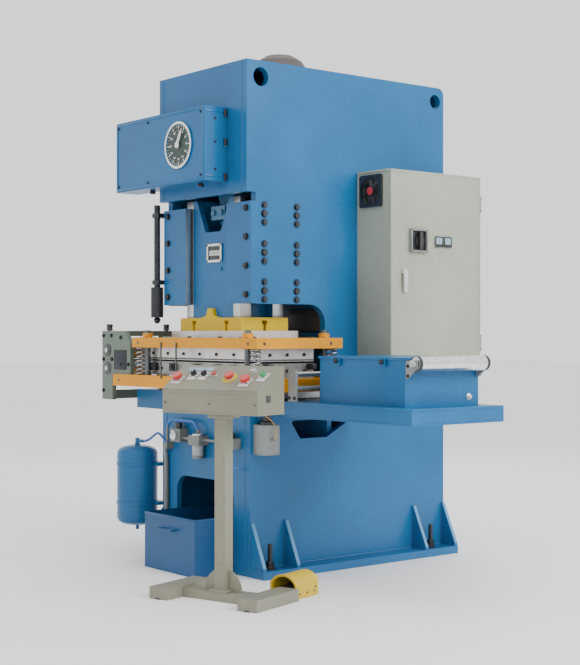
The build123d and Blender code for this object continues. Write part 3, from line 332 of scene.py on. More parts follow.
class Piece:
    """One visible piece of one material, gathered from bevelled and turned shapes."""

    def __init__(self, name, finish, body="frame", place=Matrix()):
        self.name, self.body, self.finish, self.place = name, body, finish, place
        self.mesh = bmesh.new()

    def box(self, low, high, bevel=0.002, turn=Matrix()):
        """A block between two corners, with rounded edges."""
        low, high = Vector(low), Vector(high)
        size = high - low
        corners = bmesh.ops.create_cube(self.mesh, size=1)["verts"]
        where = self.place @ Matrix.Translation((low + high) / 2) @ turn @ Matrix.Diagonal((*size, 1))
        bmesh.ops.transform(self.mesh, matrix=where, verts=corners)
        edges = list({e for v in corners for e in v.link_edges})
        reach = min(bevel, 0.45 * min(size))
        bmesh.ops.bevel(self.mesh, geom=edges, offset=reach, segments=2, profile=0.5, affect="EDGES")

    def block(self, centre, half, bevel=0.002, turn=Matrix()):
        """A block from its centre and half its size."""
        centre, half = Vector(centre), Vector(half)
        self.box(centre - half, centre + half, bevel, turn)

    def lathe(self, profile, origin, axis=Z, steps=24):
        """A turned shape from (radius, height) points along an axis."""
        where = self.place @ Matrix.Translation(Vector(origin)) @ turned_to(axis)
        rings = []
        for radius, height in profile:
            if radius < 1e-6:
                rings.append([self.mesh.verts.new(where @ Vector((0, 0, height)))])
            else:
                turns = [2 * pi * k / steps for k in range(steps)]
                rings.append([self.mesh.verts.new(where @ Vector((radius * cos(a), radius * sin(a),
                    height)))
                              for a in turns])
        for below, above in zip(rings, rings[1:]):
            for k in range(steps):
                following = (k + 1) % steps
                if len(below) == 1 and len(above) == 1:
                    continue
                if len(below) == 1:
                    self.mesh.faces.new((below[0], above[following], above[k]))
                elif len(above) == 1:
                    self.mesh.faces.new((below[k], below[following], above[0]))
                else:
                    self.mesh.faces.new((below[k], below[following], above[following], above[k]))

    def disc(self, origin, axis, radius, height, steps=24, edge=0.001):
        """A short turned disc with softened rims."""
        self.lathe([(0, 0), (radius - edge, 0), (radius, edge), (radius, height - edge),
            (radius - edge, height),
                    (0, height)], origin, axis, steps)

    def hoop(self, origin, axis, outer, inner, height, steps=32):
        """A flat ring."""
        edge = min(0.001, height / 4)
        self.lathe([(inner, 0), (outer - edge, 0), (outer, edge), (outer, height - edge),
            (outer - edge, height),
                    (inner, height), (inner, 0)], origin, axis, steps)

    def socket_screw(self, origin, axis, radius=0.009, height=0.009):
        """A cylinder-head screw with its hexagon socket."""
        self.lathe([(0, 0), (radius, 0), (radius, height - 0.001), (radius - 0.001, height),
                    (radius * 0.55, height), (radius * 0.55, height * 0.45), (0, height * 0.45)], origin,
                        axis, 18)

    def hex_bolt(self, origin, axis, radius=0.012, height=0.008):
        """A hexagon head with a washer."""
        self.lathe([(0, 0), (radius * 1.35, 0), (radius * 1.35, 0.002), (0, 0.002)], origin, axis, 24)
        lifted = Vector(origin) + Vector(axis).normalized() * 0.002
        self.lathe([(0, 0), (radius, 0), (radius, height * 0.8), (radius * 0.86, height), (0, height)],
                   lifted, axis, 6)

    def bead(self, start, end, radius=0.004):
        """A weld bead with its ripples."""
        start, end = Vector(start), Vector(end)
        run = end - start
        count = max(4, int(run.length / 0.01))
        profile = [(0, 0)]
        for k in range(count):
            at = run.length * (k + 0.5) / count
            profile += [(radius * 0.82, at - run.length / count * 0.3), (radius, at)]
        profile.append((0, run.length))
        self.lathe(profile, start, run.normalized(), 8)

    def coil(self, origin, height, radius, wire, turns, steps=20, sides=8):
        """A compression spring with closed ends."""
        rings = []
        total = int(turns * steps)
        for k in range(total + 1):
            share = k / total
            angle = 2 * pi * turns * share
            lift = wire + (height - 2 * wire) * min(1, max(0, (share * turns - 0.7) / (turns - 1.4)))
            centre = Vector(origin) + Vector((radius * cos(angle), radius * sin(angle), lift))
            out = Vector((cos(angle), sin(angle), 0))
            round_wire = [out * cos(2 * pi * s / sides) + Z * sin(2 * pi * s / sides) for s in range(sides)]
            rings.append([self.mesh.verts.new(self.place @ (centre + wire * spoke)) for spoke in round_wire])
        for below, above in zip(rings, rings[1:]):
            for s in range(sides):
                following = (s + 1) % sides
                self.mesh.faces.new((below[s], below[following], above[following], above[s]))
        self.mesh.faces.new(rings[0])
        self.mesh.faces.new(rings[-1])

    def loft(self, outline, direction):
        """A closed outline of points pushed along a direction."""
        near = [self.mesh.verts.new(self.place @ Vector(p)) for p in outline]
        far = [self.mesh.verts.new(self.place @ (Vector(p) + Vector(direction))) for p in outline]
        self.mesh.faces.new(near)
        self.mesh.faces.new(far)
        for k in range(len(outline)):
            following = (k + 1) % len(outline)
            self.mesh.faces.new((near[k], near[following], far[following], far[k]))

    def done(self, *hidden):
        """Turn the shapes into an object that rides on its body."""
        bmesh.ops.recalc_face_normals(self.mesh, faces=self.mesh.faces)
        data = bpy.data.meshes.new(self.name)
        self.mesh.to_mesh(data)
        self.mesh.free()
        data.polygons.foreach_set("use_smooth", [True] * len(data.polygons))
        data.set_sharp_from_angle(angle=radians(32))
        data.materials.append(self.finish)
        made = linked(self.name, data)
        if self.body:
            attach(made, self.body)
        if hidden:
            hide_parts(*hidden)
        return made


def pipe(name, body, finish, points, radius):
    """A fixed pipe or conduit along smooth points."""
    data = bpy.data.curves.new(name, "CURVE")
    data.dimensions = "3D"
    data.bevel_depth = radius
    data.bevel_resolution = 3
    data.use_fill_caps = True
    spline = data.splines.new("NURBS")
    spline.points.add(len(points) - 1)
    for point, place in zip(spline.points, points):
        point.co = (*place, 1)
    spline.order_u = 3
    spline.use_endpoint_u = True
    data.materials.append(finish)
    made = linked(name, data)
    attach(made, body)


def lettering(name, body, finish, marks, size, depth=0.0008):
    """Numerals as thin raised shapes; each mark is a text, its centre and its facing matrix."""
    made_meshes = bmesh.new()
    for text, place in marks:
        data = bpy.data.curves.new(name, "FONT")
        data.body = text
        data.size = size
        data.align_x = "CENTER"
        data.align_y = "CENTER"
        data.extrude = depth / 2
        holder = linked(name, data)
        bpy.context.view_layer.update()
        mesh = bpy.data.meshes.new_from_object(holder)
        mesh.transform(place)
        made_meshes.from_mesh(mesh)
        bpy.data.objects.remove(holder)
        bpy.data.meshes.remove(mesh)
    data = bpy.data.meshes.new(name)
    made_meshes.to_mesh(data)
    made_meshes.free()
    data.materials.append(finish)
    made = linked(name, data)
    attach(made, body)


def single(name, finish, shape, *measures, body="frame", place=Matrix()):
    """A piece that is one shape, such as Piece.box or Piece.lathe, with its measures."""
    piece = Piece(name, finish, body, place)
    shape(piece, *measures)
    piece.done()


def corners_of(name):
    """The low and the high corner of a standing node of the frame."""
    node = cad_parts[name]
    places = [node.matrix_world @ Vector(corner) for corner in node.bound_box]
    return [Vector([pick(place[k] for place in places) for k in range(3)]) for pick in (min, max)]


facing_front = Matrix.Rotation(pi / 2, 4, "X")
# Half a millimetre, by which pieces overlap or clear what they lie on
hair = 0.0005

# Places that the pieces follow, read from the standing nodes of the frame
plate_low, plate_high = corners_of("side_plate_right")
inner, outer = plate_low.x, plate_high.x
frame_top = plate_high.z
bearing_low, bearing_high = corners_of("crank_bearings")
crank_height = (bearing_low.z + bearing_high.z) / 2
cover_low, cover_high = corners_of("cover_box")
gib_low, gib_high = corners_of("gib_cover_plates")
shoe_low, shoe_high = corners_of("lower_die_shoe")
block_low, block_high = corners_of("lower_die_block")
cabinet_low, cabinet_high = corners_of("cabinet_body")
fan_low, fan_high = corners_of("fan_frame")
shelf_low, shelf_high = corners_of("shelves")
feed_low, feed_high = corners_of("feed_roll_frame")
guard_back = corners_of("rear_guard")[1].y

# Angle dial: dark face, white ring, marks and numerals, and the pointer's hub cap
dial_lip = 0.008
box_front = cover_low.y + dial_lip
dial_radius = 0.122
ring_width = 0.014
face_radius = dial_radius - ring_width
mark_end = face_radius - 0.003
numeral_radius = 0.073
single("dial_face", dial_green, Piece.hoop, (0, box_front + 0.0003, crank_height), -Y, face_radius - hair,
    0.0145, 0.0035, 64)
rim = Piece("dial_rim", white)
rim.hoop((0, box_front - 0.0078, crank_height), -Y, dial_radius - hair, face_radius + 0.0008, 0.0012, 64)
for mark in range(36):
    angle = radians(10 * mark)
    long_mark = mark % 3 == 0
    mark_start = face_radius - (0.022 if long_mark else 0.012)
    middle = (mark_start + mark_end) / 2
    half_mark = (0.0022 if long_mark else 0.0012, 0.0006, (mark_end - mark_start) / 2)
    centre = (middle * sin(angle), box_front - 0.0034, crank_height + middle * cos(angle))
    rim.block(centre, half_mark, 0.0003, Matrix.Rotation(angle, 4, "Y"))
rim.done()
numerals = []
for number in range(12):
    angle = radians(30 * number)
    across, up = numeral_radius * sin(angle), numeral_radius * cos(angle)
    centre = Vector((across, box_front - 0.0036, crank_height + up))
    numerals.append((str(30 * number), Matrix.Translation(centre) @ facing_front))
lettering("dial_numerals", "frame", white, numerals, 0.015)
single("pointer_hub", black, Piece.lathe, [(0, 0), (0.013, 0), (0.013, 0.002), (0.01, 0.0048),
    (0, 0.0055)], (0, box_front - 0.0095, crank_height), -Y, 28, body="crank")

# Cover box: folded rims, lid screws, hinge pins and knobs
knuckle_reach, knob_height = 0.012, 0.022
box_left, box_right = cover_low.x, cover_high.x - knuckle_reach
box_low, box_top = cover_low.z + knob_height, cover_high.z
rim_front, rim_back = box_front - 0.0035, box_front + 0.001
inset, rim_half = 0.012, 0.006
trim = Piece("cover_box_trim", blue)
for z in (box_low + inset, box_top - inset):
    trim.box((box_left + inset, rim_front, z - rim_half), (box_right - inset, rim_back, z + rim_half),
        0.002)
for x in (box_left + inset, box_right - inset):
    trim.box((x - rim_half, rim_front, box_low + 0.014), (x + rim_half, rim_back, box_top - 0.014), 0.002)
for z in (box_low + 0.02, box_top - 0.03):
    trim.box((box_right - 0.001, box_front + 0.006, z), (box_right + 0.0025, -0.02, z + 0.01), 0.001)
trim.done()
screws = Piece("cover_box_screws", dark_steel)
for x in (box_left + 0.03, (box_left + box_right) / 2 - 0.1, box_right - 0.03):
    for z in (box_low + 0.03, box_top - 0.03):
        screws.socket_screw((x, box_front - hair, z), -Y, 0.0065, 0.005)
for z in (box_low + 0.06, crank_height, box_top - 0.06):
    screws.socket_screw((box_right - hair, -0.075, z), X, 0.0065, 0.005)
for z in (box_top - 0.03, crank_height, box_low + 0.024):
    screws.lathe([(0, 0), (0.0088, 0), (0.0088, 0.034), (0.0075, 0.036), (0, 0.036)],
        (box_right + 0.005, -0.014, z - 0.018), Z, 16)
screws.done()
knobs = Piece("cover_box_knobs", black)
for x in (-0.357, 0.095):
    knobs.lathe([(0, 0), (0.012, 0.001), (0.0165, 0.005), (0.0165, 0.012), (0.0145, 0.016),
        (0.0135, 0.0225)], (x, -0.07, box_low - 0.0225), Z, 20)
knobs.done()

# Weld beads of the frame
gusset_places = (0.03, 0.247, 1.15, 1.375)
seam = 0.0035
corner_bead = 0.004
foot_top = 0.0415
welds = Piece("frame_welds", weld)
for side in (-1, 1):
    welds.bead((side * inner, hair, 1.94), (side * inner, hair, frame_top - 0.005), seam)
    welds.bead((side * inner, 0.0205, 0.01), (side * inner, 0.0205, 0.825), seam)
    welds.bead((side * (outer + 0.002), 0.03, 0.042), (side * (outer + 0.002), 1.38, 0.042), 0.006)
    welds.bead((side * inner, 0.03, frame_top - hair), (side * inner, 1.34, frame_top - hair), seam)
    for place in gusset_places:
        for edge in (-0.0115, 0.0115):
            y = place + edge
            upright = side * (outer + 0.0015)
            welds.bead((upright, y, 0.05), (upright, y, 0.265), corner_bead)
            welds.bead((side * (outer + 0.01), y, foot_top), (side * 0.503, y, foot_top), corner_bead)
    shelf_seam, seam_end = (0.886, 0.69) if side > 0 else (0.906, 0.475)
    welds.bead((side * outer, 0.108, shelf_seam), (side * outer, seam_end, shelf_seam), corner_bead)
welds.done()

# Gibs, gussets and throat: screw rings, black hexagons painted as the shade in their sockets, liner edges,
# pale strips painted as highlights on the gusset edges, and the vent
screw_pitch = 0.044
rings = Piece("gib_screw_rings", dark_steel)
# Black hexagon discs paint the shade inside the screw sockets
sockets = Piece("gib_socket_painted_shade", black)
for side in (-1, 1):
    for y in (0.11, 0.32):
        for middle in (1.44, 1.632, 1.829):
            for step in (-1, 0, 1):
                z = middle + step * screw_pitch
                rings.hoop((side * outer, y, z), side * X, 0.0195, 0.0165, 0.0025, 24)
                sockets.disc((side * (outer + 0.0118), y, z), side * X, 0.0062, 0.0008, 6, 0.0002)
    for z in (1.42, 1.565, 1.712, 1.857):
        rings.hoop((side * (outer - 0.042), gib_low.y + 0.0002, z), -Y, 0.0185, 0.013, 0.0025, 24)
rings.done()
sockets.done()
liner_foot, liner_head = gib_low.z + 0.002, gib_high.z - 0.002
liners = Piece("gib_liner_edges", bright)
for side in (-1, 1):
    x0, x1 = sorted((side * 0.185, side * 0.1846))
    liners.box((x0, 0.029, liner_foot), (x1, 0.0565, liner_head), 0.0001)
    x0, x1 = sorted((side * 0.1855, side * 0.239))
    liners.box((x0, 0.0571, liner_foot), (x1, 0.0576, liner_head), 0.0001)
liners.done()
# Pale strips along the sloping gusset edges: a painted highlight standing in for bevelled edges that catch
# the light
edges = Piece("gusset_painted_highlights", highlight_blue)
for side in (-1, 1):
    for place in gusset_places:
        foot, head = Vector((side * 0.506, place, 0.0545)), Vector((side * 0.4055, place, 0.2705))
        run = head - foot
        edges.block((foot + head) / 2, (0.0012, 0.01, run.length / 2), 0.0008, turned_to(run))
edges.done()
vent = Piece("throat_vent", vent_grey)
vent.box((0.06, 0.536, 1.235), (0.34, 0.5595, 1.352), 0.006)
for k in range(6):
    z = 1.252 + 0.015 * k
    vent.box((0.085, 0.533, z), (0.315, 0.5365, z + 0.006), 0.0012)
vent.done()

# Ram: bright skins on the guide rails, counter with its frame, drums and digits
skin = 0.00012
rail_bevel = 0.00002
rail_out, rail_foot, rail_head = 0.24, 1.306, 1.929
front_rail, rear_rail = (0.075, 0.145), (0.285, 0.355)
rails = Piece("ram_rail_skins", bright, "ram")
for side in (-1, 1):
    for y0, y1 in (front_rail, rear_rail):
        x0, x1 = sorted((side * rail_out, side * (rail_out + skin)))
        rails.box((x0, y0 + 0.001, rail_foot), (x1, y1 - 0.001, rail_head), rail_bevel)
    for x_in, y in ((0.1805, front_rail[0] - skin), (0.1815, front_rail[1])):
        x0, x1 = sorted((side * x_in, side * (rail_out - hair)))
        rails.box((x0, y, rail_foot), (x1, y + skin, rail_head), rail_bevel)
rails.done()
counter_x, counter_z = 0.02, 1.645
frame_front, frame_rear, strip_half = 0.0655, 0.068, 0.0065
drum_pitch, drum_count = 0.019, 5
counter = Piece("counter_frame", white, "ram")
for z in (counter_z - 0.0425, counter_z + 0.0425):
    counter.box((counter_x - 0.066, frame_front, z - strip_half),
        (counter_x + 0.066, frame_rear, z + strip_half), 0.001)
for x in (counter_x - 0.0595, counter_x + 0.0595):
    counter.box((x - strip_half, frame_front, counter_z - 0.048),
        (x + strip_half, frame_rear, counter_z + 0.048), 0.001)
counter.done()
single("counter_face", black, Piece.block, (counter_x, 0.0711, counter_z), (0.052, 0.0011, 0.035), 0.001,
    body="ram")
drum_places = [counter_x + (k - (drum_count - 1) / 2) * drum_pitch for k in range(drum_count)]
drums = Piece("counter_drums", white, "ram")
for x in drum_places:
    drums.block((x, 0.0695, counter_z), (0.0078, 0.0007, 0.013), 0.0006)
drums.done()
digits = [("0", Matrix.Translation((x, 0.0686, counter_z)) @ facing_front) for x in drum_places]
lettering("counter_digits", "ram", black, digits, 0.02, 0.0004)

# Die set: coil springs in place of the sleeves, bushing rims, screws, clamps and strip guides
die_lines = (-0.039, 0.455)
shoe_front, shoe_right, shoe_top = shoe_low.y, shoe_high.x, shoe_high.z
block_front, block_half = block_low.y, block_high.x
upper_shoe_bottom = shoe_top + 0.152
screw_seat = 0.0001
springs = Piece("die_coil_springs", spring_steel, None)
for x in (-0.52, 0.52):
    for y in die_lines:
        springs.coil((x, y, shoe_top), upper_shoe_bottom - shoe_top, 0.0235, 0.0045, 7.5)
coils = springs.done()
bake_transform(coils)
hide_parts("die_springs")
post_places = [(x, y) for x in (-0.455, 0.455) for y in die_lines]
collars = Piece("bushing_collars", bronze, "ram")
for x, y in post_places:
    collars.hoop((x, y, 1.2215), Z, 0.0275, 0.0168, 0.004, 32)
    collars.hoop((x, y, upper_shoe_bottom - 0.0035), Z, 0.0265, 0.0168, 0.004, 32)
collars.done()


def block_screws(piece, front_places, height):
    """Screw heads in the front and in both ends of a die block."""
    for x in front_places:
        piece.socket_screw((x, block_front + screw_seat, height), -Y, 0.0085, 0.006)
    for y in (0.06, 0.17, 0.28):
        for side in (-1, 1):
            piece.socket_screw((side * (block_half - screw_seat), y, height), side * X, 0.0085, 0.006)


def shoe_hole_shades(piece, front_places, end_places, sides, height):
    """Black discs that paint the shade inside threaded holes in the edges of a die shoe."""
    for x in front_places:
        piece.disc((x, shoe_front + screw_seat, height), -Y, 0.0085, 0.0006, 20, 0.0002)
    for y in end_places:
        for side in sides:
            piece.disc((side * (shoe_right - screw_seat), y, height), side * X, 0.0085, 0.0006, 20, 0.0002)


shoe_screw_seat = 1.1995
screws = Piece("upper_shoe_screws", dark_steel, "ram")
for x in (-0.42, -0.14, 0.14, 0.42):
    for y in (0.02, 0.4):
        screws.socket_screw((x, y, shoe_screw_seat), Z, 0.012, 0.008)
for x, y in post_places:
    for k in range(4):
        angle = pi / 4 + k * pi / 2
        screws.socket_screw((x + 0.038 * cos(angle), y + 0.038 * sin(angle), shoe_screw_seat), Z,
            0.005, 0.005)
block_screws(screws, (-0.44, -0.3, -0.15, 0, 0.15, 0.3, 0.44), 1.115)
screws.done()
# Black discs paint the shade inside the threaded holes of both die shoes
holes = Piece("shoe_hole_painted_shade", black, "ram")
shoe_hole_shades(holes, (-0.502, 0.502), (-0.022, 0.405), (-1, 1), 1.172)
holes.done()
holes = Piece("lower_shoe_hole_painted_shade", black)
shoe_hole_shades(holes, (-0.7, 0.45), (-0.02, 0.405), (1,), 0.9625)
holes.done()
clamp_places = (-0.35, -0.18, 0.18, 0.35)
screws = Piece("lower_die_screws", dark_steel)
block_screws(screws, (-0.46, -0.36, -0.22, -0.08, 0.08, 0.22, 0.36, 0.46), 1.035)
for x in clamp_places:
    for y in (-0.045, 0.42):
        screws.hex_bolt((x, y, shoe_top - screw_seat), Z, 0.013, 0.01)
screws.done()
clamps = Piece("lower_shoe_clamps", bright)
for x in clamp_places:
    for y in (-0.068, 0.385):
        clamps.box((x - 0.024, y, shoe_top), (x + 0.024, y + 0.055, shoe_top + 0.0085), 0.002)
clamps.done()
band_low, band_high = 1.0855, 1.093
liner = Piece("upper_die_liner", cast, "ram")
liner.box((-0.498, -0.0125, band_low), (0.498, -0.0095, band_high), 0.001)
for side in (1, -1):
    x0, x1 = sorted((side * 0.5045, side * 0.5075))
    liner.box((x0, -0.004, band_low), (x1, 0.344, band_high), 0.001)
liner.done()
guides = Piece("strip_guides", dark_steel)
for x in (-0.42, -0.24, -0.02, 0.16, 0.3, 0.44):
    guides.box((x - 0.022, -0.03, 1.022), (x + 0.022, block_front + hair, 1.064), 0.002)
    guides.block((x, -0.032, 1.049), (0.01, 0.004, 0.009), 0.002)
for y in (0.03, 0.31):
    for side in (-1, 1):
        x0, x1 = sorted((side * (block_half - hair), side * 0.556))
        guides.box((x0, y - 0.012, 1.04), (x1, y + 0.012, 1.071), 0.002)
guides.done()

# Compressed air: gauge, the filter's clear bowl, valve caps and lines
filter_x, filter_y = -0.014, -0.012
gauge_place = (-0.195, -0.0345, 0.681)
gauge = Piece("air_gauge_case", chrome)
gauge.lathe([(0, 0), (0.024, 0), (0.026, 0.003), (0.026, 0.016), (0.023, 0.018), (0.021, 0.014)],
    gauge_place, -Y, 32)
gauge.hoop((filter_x, filter_y, 0.69), Z, 0.0315, 0.024, 0.008, 28)
gauge.done()
single("air_gauge_face", white, Piece.disc, gauge_place, -Y, 0.0215, 0.0145, 28)
single("air_gauge_hand", black, Piece.box, (-0.197, -0.05, 0.679), (-0.193, -0.0488, 0.698), 0.0004,
    Matrix.Rotation(radians(35), 4, "Y"))
single("filter_cup", bowl, Piece.lathe, [(0, -0.002), (0.016, -0.001), (0.027, 0.006), (0.0308, 0.02),
    (0.0308, 0.066), (0.0302, 0.068)], (filter_x, filter_y, 0.569), Z, 32)
valve_x = 0.259
valve = Piece("valve_caps", black)
for x in (valve_x - 0.029, valve_x + 0.029):
    valve.block((x, -0.024, 0.706), (0.02, 0.016, 0.016), 0.003)
valve.disc((valve_x, -0.0245, 0.665), -Y, 0.012, 0.01, 24)
valve.done()
pipe("air_line_tank", "frame", hose_blue, [(-0.475, -0.055, 0.633), (-0.44, -0.055, 0.636),
    (-0.39, -0.052, 0.66), (-0.352, -0.04, 0.69), (-0.318, -0.03, 0.662), (-0.302, -0.02, 0.636)],
    0.007)
pipe("air_line_valve", "frame", hose_blue, [(valve_x, -0.034, 0.665), (0.262, -0.062, 0.66),
    (0.285, -0.075, 0.61), (0.32, -0.06, 0.56), (0.345, -0.02, 0.54), (0.35, 0.021, 0.54)], 0.006)
pipe("grey_conduit", "frame", grey, [(-0.34, 0.006, 0.535), (-0.34, 0.000, 0.58), (-0.33, -0.008, 0.62),
    (-0.31, -0.01, 0.645)], 0.011)

# Air tank: domed shell with its seams, straps with brackets, top fitting, elbow and drain
tank_x, tank_y, tank_length = -0.535, -0.055, 0.438
dome = [(0, 0), (0.045, 0.002), (0.08, 0.009), (0.102, 0.022), (0.1105, 0.04), (0.111, 0.06),
    (0.1125, 0.062), (0.1125, 0.068), (0.111, 0.07)]
shell = dome + [(radius, tank_length - height) for radius, height in reversed(dome)]
tank = Piece("air_tank_shell", deep_blue)
tank.lathe(shell, (tank_x, tank_y, 0.171), Z, 48)
for z in (0.286, 0.499):
    tank.box((tank_x + 0.02, -0.012, z), (-outer, 0.045, z + 0.02), 0.002)
    tank.hoop((tank_x, tank_y, z + 0.001), Z, 0.1145, 0.1105, 0.018, 48)
tank.lathe([(0, 0), (0.016, 0), (0.016, 0.01), (0.012, 0.012), (0.012, 0.04), (0, 0.04)],
    (tank_x, tank_y, 0.608), Z, 6)
tank.lathe([(0, 0), (0.009, 0), (0.009, 0.06), (0, 0.06)], (tank_x, tank_y, 0.633), X, 16)
tank.lathe([(0, 0), (0.009, 0), (0.009, 0.028), (0, 0.028)], (tank_x, tank_y, 0.145), Z, 12)
tank.done("air_tank")

# Cabinet: fan guard and hub, isolator plate, meters, door rims, top edge, gasket, glands and conduits
fan_x, fan_z = (fan_low.x + fan_high.x) / 2, (fan_low.z + fan_high.z) / 2
cabinet_front, door_plate = cabinet_low.y, cabinet_high.x
guard = Piece("fan_guard_rings", black)
for radius in (0.03, 0.044, 0.058, 0.071):
    guard.hoop((fan_x, cabinet_front - 0.0135, fan_z), -Y, radius, radius - 0.0024, 0.0024, 40)
for x in (fan_x - 0.073, fan_x + 0.073):
    for z in (fan_z - 0.073, fan_z + 0.073):
        guard.socket_screw((x, cabinet_front - 0.0138, z), -Y, 0.005, 0.003)
guard.done()
single("fan_hub_badge", red, Piece.disc, (fan_x, cabinet_front - 0.0138, fan_z), -Y, 0.0215, 0.003, 32)


def door_box(piece, near, far, centre, reach, bevel):
    """A block on the door, from near to far out of its plate, by its centre and half its size."""
    (y, z), (reach_y, reach_z) = centre, reach
    piece.box((door_plate + near, y - reach_y, z - reach_z), (door_plate + far, y + reach_y, z + reach_z),
        bevel)


instrument_z = 1.712
isolator_y = 0.93
plate = Piece("isolator_plate", black, "cabinet_door")
door_box(plate, 0.0045, 0.0058, (isolator_y, instrument_z), (0.059, 0.059), 0.0005)
plate.hoop((door_plate + 0.0045, isolator_y, instrument_z), X, 0.04, 0.0322, 0.0075, 40)
plate.done()
surround = Piece("isolator_frame", shell_grey, "cabinet_door")
for edge in (-0.056, 0.056):
    door_box(surround, 0.0045, 0.0215, (isolator_y + edge, instrument_z), (0.005, 0.061), 0.002)
    door_box(surround, 0.0045, 0.0215, (isolator_y, instrument_z + edge), (0.06, 0.005), 0.002)
surround.done()
rims = Piece("meter_rims", black, "cabinet_door")
faces = Piece("meter_faces", legend_blue, "cabinet_door")
needles = Piece("meter_needles", red, "cabinet_door")
for y in (1.085, 1.15):
    for edge in (-0.0255, 0.0255):
        door_box(rims, 0.0078, 0.0112, (y + edge, instrument_z), (0.003, 0.028), 0.0008)
        door_box(rims, 0.0078, 0.0112, (y, instrument_z + edge), (0.028, 0.003), 0.0008)
    door_box(faces, 0.0078, 0.009, (y, instrument_z), (0.024, 0.0225), 0.0003)
    needles.box((door_plate + 0.009, y - 0.0008, instrument_z - 0.014),
        (door_plate + 0.0097, y + 0.0008, instrument_z + 0.018), 0.0002,
        Matrix.Rotation(radians(38), 4, "X"))
    door_box(rims, 0.0085, 0.01, (y, instrument_z - 0.01725), (0.024, 0.00525), 0.0003)
rims.done()
faces.done()
needles.done()
door_near, door_far = cabinet_front + 0.003, cabinet_high.y - 0.014
door_foot, door_head = cabinet_low.z + 0.003, cabinet_high.z - 0.003
seam_width, seam_back, seam_front = 0.01, door_plate - hair, door_plate + 0.0018
seams = Piece("cabinet_door_rims", beige, "cabinet_door")
for y in (door_near, door_far - seam_width):
    seams.box((seam_back, y, door_foot), (seam_front, y + seam_width, door_head), 0.0008)
for z in (door_foot, door_head - seam_width):
    seams.box((seam_back, door_near + 0.011, z), (seam_front, door_far - 0.011, z + seam_width), 0.0008)
seams.done()
single("cabinet_top_edge", beige, Piece.box, (outer + 0.001, cabinet_front - 0.006, cabinet_high.z - 0.009),
    (door_plate - 0.015, cabinet_front + 0.001, cabinet_high.z), 0.002)
gasket = Piece("cabinet_gasket", rubber)
for z in (cabinet_low.z + 0.0025, cabinet_high.z - 0.0035):
    gasket.box((door_plate - 0.0145, door_near, z - 0.002),
        (door_plate - 0.0136, door_far + 0.004, z + 0.002), 0.0003)
gasket.done()
gland_x, gland_front, gland_rear = 0.5, 0.82, 0.9
glands = Piece("cable_glands", grey)
for y in (gland_front, gland_rear, 1.02):
    glands.lathe([(0, 0), (0.02, 0), (0.022, 0.004), (0.022, 0.018), (0.017, 0.024), (0.015, 0.034),
        (0, 0.034)], (gland_x, y, cabinet_low.z + hair), -Z, 16)
glands.done()
pipe("cabinet_conduit_front", "frame", hose_black, [(gland_x, gland_front, 1.00),
    (gland_x, gland_front, 0.95), (0.48, gland_front, 0.9), (0.43, gland_front, 0.88),
    (0.393, gland_front, 0.88)], 0.013)
pipe("cabinet_conduit_rear", "frame", hose_black, [(gland_x, gland_rear, 1.00), (gland_x, gland_rear, 0.93),
    (0.47, 0.91, 0.86), (0.43, 0.92, 0.84), (0.393, 0.92, 0.84)], 0.013)

# Inside of the cabinet: mounting plate, wiring ducts and three rows of devices on rails
plate_x = 0.424
row_left, row_right = 0.8, 1.35
row_heights = (1.82, 1.58, 1.34)
mounting = Piece("cabinet_mounting_plate", bright)
mounting.box((plate_x - 0.003, row_left - 0.02, 1.1), (plate_x, row_right + 0.02, 2.00), 0.001)
for y in (row_left, row_right):
    for z in (1.12, 1.98):
        mounting.box((0.4005, y - 0.008, z - 0.008), (plate_x - 0.002, y + 0.008, z + 0.008), 0.001)
for z in row_heights:
    mounting.box((plate_x - 0.001, row_left + 0.05, z - 0.0175),
        (plate_x + 0.0075, row_right - 0.05, z + 0.0175), 0.001)
mounting.done()
ducts = Piece("cabinet_wiring_ducts", grey)
for y in (row_left, row_right):
    ducts.box((plate_x - hair, y - 0.018, 1.2), (plate_x + 0.055, y + 0.018, 1.96), 0.002)
for z in (1.94, 1.7, 1.46, 1.22):
    ducts.box((plate_x - hair, row_left + 0.0185, z - 0.02),
        (plate_x + 0.055, row_right - 0.0185, z + 0.02), 0.002)
ducts.done()


def device_row(name, finish, height, first, pitch, count, size):
    """Like devices side by side on one rail, each with a step in its front."""
    depth, width, tall = size
    row = Piece(name, finish)
    for k in range(count):
        y = first + k * pitch
        row.box((plate_x + 0.007, y, height - tall / 2),
            (plate_x + depth * 0.7, y + width, height + tall / 2), 0.0015)
        row.box((plate_x + depth * 0.68, y + 0.001, height - tall / 4),
            (plate_x + depth, y + width - 0.001, height + tall / 4), 0.0015)
    row.done()


device_row("cabinet_breakers", white, row_heights[0], 0.86, 0.0185, 13, (0.07, 0.0175, 0.085))
device_row("cabinet_relays", black, row_heights[0], 1.13, 0.03, 5, (0.075, 0.027, 0.075))
device_row("cabinet_contactors", black, row_heights[1], 0.86, 0.05, 5, (0.09, 0.045, 0.085))
device_row("cabinet_supply", shell_grey, row_heights[1], 1.135, 0.085, 2, (0.1, 0.075, 0.115))
device_row("cabinet_terminals", legend_blue, row_heights[2], 0.86, 0.0085, 50, (0.045, 0.0078, 0.055))

# Console: rings, plates and lenses of the controls, blank legend, trim, screws, welds and foot caps
console = Matrix.Translation((0.768, -0.412, 0)) @ Matrix.Rotation(radians(17), 4, "Z")
lip, crest, panel_front, panel_back = 0.97, 1.074, -0.11, 0.055
tilt = atan2(crest - lip, panel_back - panel_front)


def on_panel(u, v):
    """The matrix of a place on the sloped panel; its Z leaves the panel."""
    centre = Matrix.Translation((0, (panel_front + panel_back) / 2, (lip + crest) / 2))
    return console @ centre @ Matrix.Rotation(tilt, 4, "X") @ Matrix.Translation((u, v, 0))


